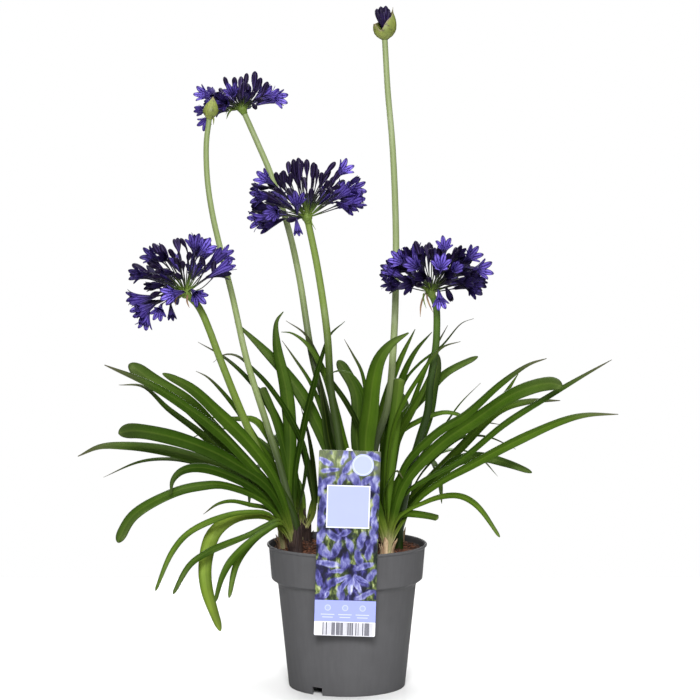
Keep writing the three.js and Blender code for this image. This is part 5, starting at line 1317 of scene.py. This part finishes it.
# ------------------------------------------------------------------ stems
def make_stem(name, foot_radius, top_radius, tone, painted_shade_below, points, strap_tree, material):
    """A bare flower stem with low ribs."""
    path, along, share, _ = smooth_path(points, STEM_ROWS)
    side = across(along[0], EAST)[0]
    breadth = []
    for direction in along:
        side = across(direction, side)[0]
        breadth.append(side)
    # painted shade: dry_tip_and_painted_shade rises from 0 to 1 below the height where the stem is shaded
    guide = {
        "points": path, "breadth": np.array(breadth), "topside": np.tile(UP, (len(path), 1)),
        "half_width": mix(foot_radius, top_radius, share) * MM * 0.985, "cup": 0.0, "along": share,
        "tone": tone, "dry_tip_and_painted_shade": np.clip((painted_shade_below + 15 - path[:, 2]) / 75, 0, 1)}
    return grow_straps(name.replace("stem", "flower_stem"), [guide], strap_tree, STEM_SIDES, 0.9,
                       material, ribs=STEM_RIBS, rib_height=STEM_RIB_HEIGHT)


def stem_top(name):
    """Where a stem ends, and which way it points there."""
    path, along, _, _ = smooth_path(STEMS[name][-1], STEM_ROWS)
    return path[-1], along[-1]


# ------------------------------------------------------------------ florets and heads
def make_petal(turn, half_width, line, seed):
    """One petal as a thin closed strap: round the tube at its foot, then free, curling out along
    line, a list of (radius, height) points."""
    loose = 1 + 0.2 * (noise(turn, seed) - 0.5)
    path, along, share, _ = smooth_path([(r, 0, h) for r, h in line], PETAL_ROWS, 1.5)
    lean = 0.16 * (noise(turn, seed + 1) - 0.5)
    vertices, petal_along, petal_across, inner = [], [], [], []
    for (radius, _, height), (dr, _, dh), u in zip(path, along, share):
        free = max(0.0, (u - TUBE_SHARE) / (1 - TUBE_SHARE))
        radius = radius * (1 + (loose - 1) * free)
        angle = turn + lean * free
        out = np.array([math.cos(angle), math.sin(angle), 0.0])
        left = np.array([-math.sin(angle), math.cos(angle), 0.0])
        tip = math.sqrt(max(0.03, 1 - max(0.0, (u - 0.58) / 0.42) ** 2.6))
        half = min(0.6 * radius + 0.3, half_width) * tip
        back = out * dh - UP * dr
        wrap = 1 - 0.7 * free
        for side, order in ((-1, range(PETAL_COLUMNS)), (1, range(PETAL_COLUMNS - 1, -1, -1))):
            for column in order:
                v = 2 * column / (PETAL_COLUMNS - 1) - 1
                round_off = radius * (math.cos(min(1.2, half / radius) * v) - 1) * wrap
                keel = 0.22 * (1 - abs(v)) * free
                skin = side * PETAL_SKIN * (1 - 0.55 * abs(v)) * (1 - 0.4 * u)
                vertices.append(out * radius + UP * height + left * half * v + out * round_off
                                + back * (skin + keel))
                petal_along.append(u)
                petal_across.append(v)
                inner.append(float(side < 0))
    petal = make_object("petal", vertices, tube_faces(PETAL_ROWS, 2 * PETAL_COLUMNS))
    set_attribute(petal.data, "petal_along", petal_along)
    set_attribute(petal.data, "petal_across", petal_across)
    set_attribute(petal.data, "inner", inner)
    return petal


def make_stamen(turn, reach, height):
    """A thread that stands in a floret's throat, with its anther."""
    out = np.array([math.cos(turn), math.sin(turn), 0.0])
    end = out * reach + UP * height + np.array([0.9, 0, 0])
    points = [out * 0.7 + UP * 10, out * reach * 0.55 + UP * (height * 0.72), end]
    filament = tube_object("filament", points, (0.3, 0.18), 4, rows=5)
    anther = tube_object("anther", [end - UP * 0.7, end + out * 0.6 + UP * 0.9], (0.5, 0.3), 5, rows=3)
    for part, light in ((filament, 1.0), (anther, 0.0)):
        count = len(part.data.vertices)
        set_attribute(part.data, "petal_along", np.full(count, 0.5 * light))
        set_attribute(part.data, "petal_across", np.full(count, 0.4 * light))
        set_attribute(part.data, "inner", np.full(count, light))
    return [filament, anther]


def make_floret_shape(name, line, half_width, stamens, seed):
    """A floret facing up from its foot: six petals in two whorls, and its stamens."""
    inside = [(max(0.6, r - 0.4), h) for r, h in line]
    parts = []
    for i in range(6):
        width, section = (half_width, inside) if i % 2 else (half_width * 0.88, line)
        parts.append(make_petal(math.pi * i / 3, width, section, seed))
    for i in range(6 if stamens else 0):
        parts += make_stamen(math.pi * (i + 0.5) / 3, stamens[0], stamens[1] - 2.2 * noise(i, seed + 4))
    floret = join(name, parts)
    set_attribute(floret.data, "closed", np.zeros(len(floret.data.vertices)))
    return floret


def make_bud_shape(name, length, foot, belly):
    """A closed floret facing up from its foot: a blunt club of six furled petals."""
    profile = [(0, foot), (0.1, foot * 1.3), (0.24, belly * 0.62), (0.42, belly * 0.88), (0.6, belly),
               (0.76, belly * 0.96), (0.88, belly * 0.76), (0.96, belly * 0.42)]
    sides = 12
    vertices, along, stripe = [], [], []
    for t, radius in profile:
        for k in range(sides):
            a = 2 * math.pi * k / sides
            furled = radius * (1 + 0.06 * math.cos(6 * a) * min(1, t * 2))
            vertices.append((furled * math.cos(a), furled * math.sin(a), t * length))
            along.append(t)
            # petal_across: 0.45 on every other side, which the finish lightens as a painted sheen, and 1 on
            # the sides between, left dark
            stripe.append(0.45 if k % 2 == 0 else 1.0)
    vertices.append((0, 0, length))
    along.append(1.0)
    stripe.append(1.0)
    last = (len(profile) - 1) * sides
    faces = grid_faces(len(profile), sides, closed=True)
    faces += [(last + k, last + (k + 1) % sides, len(vertices) - 1) for k in range(sides)]
    faces.append(list(range(sides))[::-1])
    bud = make_object(name, vertices, faces)
    recalculate_outward(bud)
    count = len(bud.data.vertices)
    set_attribute(bud.data, "petal_along", along)
    set_attribute(bud.data, "petal_across", stripe)
    set_attribute(bud.data, "inner", np.zeros(count))
    set_attribute(bud.data, "closed", np.ones(count))
    return bud


def make_floret_shapes():
    """The four florets that the umbel tree puts on its points, each turned from (radius, height)."""
    opened = [(1.3, 0), (2.0, 4.5), (3.0, 9.5), (4.6, 15), (6.8, 20), (9.2, 24), (11.2, 26)]
    half = [(1.3, 0), (2.1, 5), (3.2, 10), (4.4, 15.5), (5.6, 20.5), (6.8, 25), (7.8, 27.4)]
    splitting = [(1.3, 0), (2.0, 3.5), (3.2, 9), (3.8, 14), (3.6, 18.5), (3.0, 22), (2.4, 24)]
    return {
        "Open Floret": make_floret_shape("open_floret", opened, 4.0, (3.6, 24.0), 3),
        "Half Open Floret": make_floret_shape("half_open_floret", half, 3.7, (2.8, 25.0), 5),
        "Splitting Floret": make_floret_shape("splitting_floret", splitting, 2.9, None, 7),
        "Closed Floret": make_bud_shape("closed_floret", 20.0, 1.1, 3.3)}


def head_florets(head):
    """A head's heart and its florets, as (where its stalk ends, facing, where its stalk starts,
    kind, size, how light it is)."""
    at, along = stem_top(head["stem"])
    heart = at + along * HEART_HEIGHT
    pole = unit(head["axis"])
    east, north = across(pole, EAST)
    seed = head["seed"]
    florets = []
    for i in range(head["count"]):
        polar = (math.radians(head["spread"]) * ((i + 0.5) / head["count"]) ** CROWN
                 + 0.16 * (noise(i, seed) - 0.5))
        azimuth = i * GOLDEN_ANGLE + 0.5 * (noise(i, seed + 1) - 0.5)
        outward = (pole * math.cos(polar) + east * math.sin(polar) * math.cos(azimuth)
                   + north * math.sin(polar) * math.sin(azimuth))
        if outward[1] < -0.35:
            continue
        opened = math.degrees(polar) > head["open"] + 16 * (noise(i, seed + 2) - 0.5)
        size = 0.9 + 0.2 * noise(i, seed + 3)
        kind = (OPEN if noise(i, seed + 5) > 0.4 else HALF_OPEN) if opened else CLOSED
        light = mix(*head["mood"], noise(i, seed + 7))
        reach = mix(*head["reach"], math.sin(polar) ** 2)
        distance = reach * (0.92 + 0.16 * noise(i, seed + 4))
        joint = heart + outward * (distance - FLORET_REACH[kind] * size)
        jog = np.array([noise(i, seed + k) - 0.5 for k in (8, 9, 10)])
        facing = unit(outward - UP * head["droop"] * math.sin(polar) * (1 if opened else 0.4) + 0.35 * jog)
        florets.append((joint, facing, heart + outward * STALK_START, kind, size, light))
    for kind, place, reach, light in head["front"]:
        joint = at + np.array(place, float)
        root = heart + unit(joint - heart) * STALK_START
        size = np.linalg.norm(reach) / FLORET_REACH[kind]
        florets.append((joint, unit(reach), root, kind, size, light))
    return heart, florets


def make_florets(name, florets, seed, umbel_tree, shapes, material):
    """A head's florets in one piece."""
    mesh = bpy.data.meshes.new("spots")
    mesh.from_pydata([tuple(joint * MM) for joint, *_ in florets], [], [])
    set_attribute(mesh, "facing", [floret[1] for floret in florets], "FLOAT_VECTOR")
    set_attribute(mesh, "kind", [floret[3] for floret in florets])
    set_attribute(mesh, "size", [floret[4] for floret in florets])
    set_attribute(mesh, "tone", [floret[5] for floret in florets])
    set_attribute(mesh, "turn", [6.28 * noise(i, seed + 6) for i in range(len(florets))])
    return grow(add_object("spots", mesh), umbel_tree, {**shapes, "Material": material},
                name.replace("head", "florets"))


def make_bracts(bracts, heart, strap_tree, material):
    """The narrow straps left under a head: (width, where one starts, where its tip is)."""
    guides = []
    for width, start, tip in bracts:
        from_, to = heart + np.array(start), heart + np.array(tip)
        points = [heart, from_, from_ * 0.45 + to * 0.55 + np.array([-1.5, -1, 1.5]), to]
        path, way, share, _ = smooth_path(points, 18)
        breadth = np.array([across(w, EAST + 0.3 * UP)[0] for w in way])
        slim = np.sin(math.pi * np.clip(share, 0.05, 0.98)) ** 0.7
        guides.append({
            "points": path, "breadth": breadth, "topside": np.cross(way, breadth),
            "half_width": np.maximum(0.25, width / 2 * slim) * MM, "cup": 0.5, "along": 0.15 * share,
            "tone": 0.8})
    return grow_straps("bracts", guides, strap_tree, 8, 0.12, material)


def make_knob(at, along, material):
    """The swollen end of a stem, which carries the florets' stalks."""
    u, v = across(along, EAST)
    vertices = []
    for height, radius in KNOB_SECTION:
        for k in range(KNOB_SIDES):
            a = 2 * math.pi * k / KNOB_SIDES
            r = radius * (1 + 0.05 * math.sin(a * 7 + height))
            vertices.append(at + along * height + (u * math.cos(a) + v * math.sin(a)) * r)
    knob = make_object("knob", vertices, tube_faces(len(KNOB_SECTION), KNOB_SIDES), [material])
    recalculate_outward(knob)
    set_attribute(knob.data, "along", np.full(len(vertices), 0.12))
    return knob


def make_stalks(name, head, heart, florets, strap_tree, material, husk_material):
    """The florets' stalks, the knob that carries them, and the bracts under it."""
    guides = []
    for i, (joint, facing, root, *_) in enumerate(florets):
        straight = np.linalg.norm(joint - root)
        bend = joint - facing * straight * 0.3
        points = [root - unit(joint - root) * 1.5, root * 0.5 + bend * 0.5, joint, joint + facing * 0.8]
        path, way, share, _ = smooth_path(points, 12)
        breadth = np.array([across(w, np.array([0.3, 0.2, 1.0]))[0] for w in way])
        guides.append({
            "points": path, "breadth": breadth, "topside": np.tile(UP, (len(path), 1)),
            "half_width": (0.6 + 0.6 * np.clip((share - 0.85) / 0.15, 0, 1)) * MM, "cup": 0.0,
            "along": share, "tone": noise(i, 2)})
    stalks = grow_straps("stalks", guides, strap_tree, 6, 1.0, material)
    parts = [stalks, make_knob(*stem_top(head["stem"]), material)]
    for key, bract_material in (("dry", husk_material), ("fresh", material)):
        if head[key]:
            parts.append(make_bracts(head[key], heart, strap_tree, bract_material))
    return join(name.replace("head", "stalks"), parts)


# ------------------------------------------------------------------ the two buds in their sheaths
def make_spathe(name, stem, profile, rim, material, thickness=0.6):
    """A sheath that swells from a stem's top: profile gives (height, half width, half depth, shift),
    rim(angle) how far up it reaches there."""
    at, along = stem_top(stem)
    u, v = across(along, EAST)
    rows, sides = 26, 48
    heights = [p[0] for p in profile]
    vertices, share, side = [], [], []
    for row in range(rows):
        s = row / (rows - 1)
        for k in range(sides):
            a = 2 * math.pi * k / sides
            h = s * rim(a)
            wide, deep, shift = (np.interp(h, heights, [p[i] for p in profile]) for i in (1, 2, 3))
            ripple = 1 + 0.008 * math.cos(a * 9)
            vertices.append(at + along * h + u * (wide * ripple * math.cos(a) + shift)
                            + v * deep * ripple * math.sin(a))
            share.append(s)
            side.append(a / math.pi - 1)
    shell = make_object(name, vertices, grid_faces(rows, sides, closed=True), [material])
    set_attribute(shell.data, "along", share)
    set_attribute(shell.data, "across", side)
    thicken(shell, thickness)
    shell.data.shade_smooth()
    return shell


def make_closed_bud(spathe_material, strap_tree):
    """A pointed sheath still shut round its head, and the small spur that hangs beside its foot."""
    at, _ = stem_top("stem_closed_bud")
    profile = [
        (0.3, 2.95, 2.95, 0), (1.5, 3.5, 3.4, 0), (3, 4.8, 4.4, 0), (5, 6.8, 5.9, 0.1),
        (7, 7.9, 6.7, 0.2), (9.5, 8.2, 6.9, 0.3), (12, 7.8, 6.5, 0.5), (15, 6.5, 5.4, 0.7),
        (18, 4.7, 4.0, 0.9), (20, 3.3, 2.9, 1.0), (22.5, 1.6, 1.5, 1.0),
        (CLOSED_BUD_HEIGHT, 0.35, 0.35, 0.9)]
    shell = make_spathe("shell", "stem_closed_bud", profile, lambda angle: CLOSED_BUD_HEIGHT,
                        spathe_material)
    start = at + np.array([4.0, -0.5, 2.6])
    points = [start, start + (0.9, -0.6, -2.5), start + (0.9, -0.8, -5.5), start + (0.6, -0.6, -8)]
    path, way, share, _ = smooth_path(points, 14)
    breadth = np.array([across(w, EAST)[0] for w in way])
    guide = {
        "points": path, "breadth": breadth, "topside": np.cross(way, breadth),
        "half_width": (1.1 * (1 - share) + 0.2) * MM, "cup": 0.5, "along": share, "tone": 0.5}
    spur = grow_straps("spur", [guide], strap_tree, 8, 0.2, spathe_material)
    return join("closed_flower_bud", [shell, spur])


def make_top_bud(spathe_material, floret_material, umbel_tree, shapes):
    """A sheath that has just split, and the closed florets that stand out of it."""
    at, along = stem_top("stem_top_bud")
    profile = [
        (0.3, 3.1, 3.1, 0), (2, 6.0, 5.4, 0), (4, 8.6, 7.4, 0), (7.5, 11.2, 9.2, 0.2),
        (11, 12.4, 9.9, 0.4), (15, 12.5, 9.8, 0.7), (18, 12.2, 9.3, 1.0), (21, 10.4, 8.0, 2.4),
        (24, 7.6, 6.0, 4.5), (28, 3.8, 3.4, 7.0), (31, 1.5, 1.4, 9.0), (TOP_BUD_HEIGHT, 0.3, 0.3, 10.5)]

    def rim(angle):
        """High on the right where the tip is, a deep slit in front, lower on the left."""
        right = 0.5 + 0.5 * math.cos(angle - 0.35)
        slit = math.exp(-((math.degrees(angle) % 360 - 250) / 24) ** 2)
        return min(TOP_BUD_HEIGHT, 17.5 + 16.5 * right ** 1.6) - 9 * slit

    shell = make_spathe("top_bud_sheath", "stem_top_bud", profile, rim, spathe_material, 0.5)
    florets = []
    tips = [(-9, 0, 33), (-4.5, -5, 35), (1, -2, 36), (-3, 5, 34), (5, -5, 30), (-8, -5, 29), (-6, 3, 30),
            (2, 4, 32), (-1, -7, 29), (-5, -6, 24), (0, -7, 22), (4, -1, 33)]
    foot = at + along * 7
    for i, tip in enumerate(tips):
        aim = at + np.array(tip) - foot
        length = np.linalg.norm(aim)
        size = 0.72 * length / FLORET_REACH[CLOSED]
        florets.append((foot + aim * 0.28, unit(aim), foot, CLOSED, size, noise(i, 38)))
    buds = make_florets("head_top_bud", florets, 31, umbel_tree, shapes, floret_material)
    return shell, buds


# ------------------------------------------------------------------ light, floor and camera
def make_stage():
    """The floor, the white surround and the soft boxes."""
    white = Finish("floor_white", 0.9, Specular_IOR_Level=0.05, Base_Color=(0.84, 0.84, 0.84, 1))
    floor = make_object("floor", FLOOR, [(0, 1, 2, 3)], [white.material], smooth=False)
    make_world()
    for softbox in SOFTBOXES:
        make_softbox(*softbox)


def make_world():
    """A white surround that gives less light than it shows."""
    world = bpy.data.worlds.new("studio")
    bpy.context.scene.world = world
    world.use_nodes = True
    tree = world.node_tree
    seen = add_node(tree, "ShaderNodeLightPath").outputs["Is Camera Ray"]
    strength = add_node(tree, "ShaderNodeMapRange", {0: seen, 3: SURROUND_LIGHT, 4: 1.0}).outputs[0]
    background = tree.nodes["Background"]
    background.inputs[0].default_value = (1, 1, 1, 1)
    tree.links.new(strength, background.inputs[1])


def make_softbox(name, place, target, size, power):
    """A wide soft light that points at the target."""
    data = bpy.data.lights.new(name, "AREA")
    data.shape = "RECTANGLE"
    data.size, data.size_y = size
    data.energy = power
    lamp = add_object(name, data)
    lamp.location = place
    lamp.rotation_euler = (Vector(target) - Vector(place)).to_track_quat("-Z", "Y").to_euler()


def make_camera():
    """A long lens, level with the flowers and tilted a little down."""
    data = bpy.data.cameras.new("camera")
    data.sensor_fit = "HORIZONTAL"
    data.sensor_width = CAMERA_SENSOR
    data.lens = CAMERA_LENS
    camera = add_object("camera", data)
    camera.location = CAMERA_PLACE
    camera.rotation_euler = (math.radians(90 - CAMERA_DOWN), 0, 0)
    bpy.context.scene.camera = camera


# ------------------------------------------------------------------ everything put together
def settle(piece, slot, *nodes):
    """Hands a finished piece to the frame."""
    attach(piece, "root")
    if nodes:
        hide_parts(*nodes)


def main():
    bpy.context.scene.view_settings.view_transform = "Standard"
    make_camera()
    make_stage()
    strap_tree, umbel_tree, litter_tree = build_strap_tree(), build_umbel_tree(), build_litter_tree()
    leaf, stem, stalk = finish_leaf(), finish_stem(), finish_stalk()
    floret, spathe = finish_floret(), finish_spathe()
    husks = {
        "purple": finish_husk("husk_purple", (0.009, 0.004, 0.005), (0.042, 0.024, 0.018)),
        "straw": finish_husk("husk_straw", (0.16, 0.08, 0.045), (0.6, 0.46, 0.28)),
        "brown": finish_husk("husk_brown", (0.09, 0.04, 0.025), (0.3, 0.2, 0.11))}

    settle(make_pot(finish_pot()), "pot", "pot")
    settle(make_soil(finish_soil(), litter_tree), "soil", "soil")
    settle(make_label(finish_label(), finish_label_plastic()), "label", "plant_label")
    for name, sizes in STEMS.items():
        settle(make_stem(name, *sizes, strap_tree, stem), "stems", name)
    for index, (name, (foot, blades)) in enumerate(FANS.items()):
        husk, husks_of = HUSKS.get(name, HUSKS["left"] if "left" in name else HUSKS["right"])
        settle(make_fan(name, foot, blades, index, strap_tree, leaf, husks[husk], husks_of), "leaves", name)
    shapes = make_floret_shapes()
    for name, head in HEADS.items():
        heart, florets = head_florets(head)
        settle(make_florets(name, florets, head["seed"], umbel_tree, shapes, floret), "florets", name)
        settle(make_stalks(name, head, heart, florets, strap_tree, stalk, husks["brown"]), "stems")
    settle(make_closed_bud(spathe, strap_tree), "spathes", "closed_bud")
    sheath, buds = make_top_bud(spathe, floret, umbel_tree, shapes)
    settle(sheath, "spathes", "top_bud")
    settle(buds, "florets")
    for shape in shapes.values():
        bpy.data.objects.remove(shape)


main()
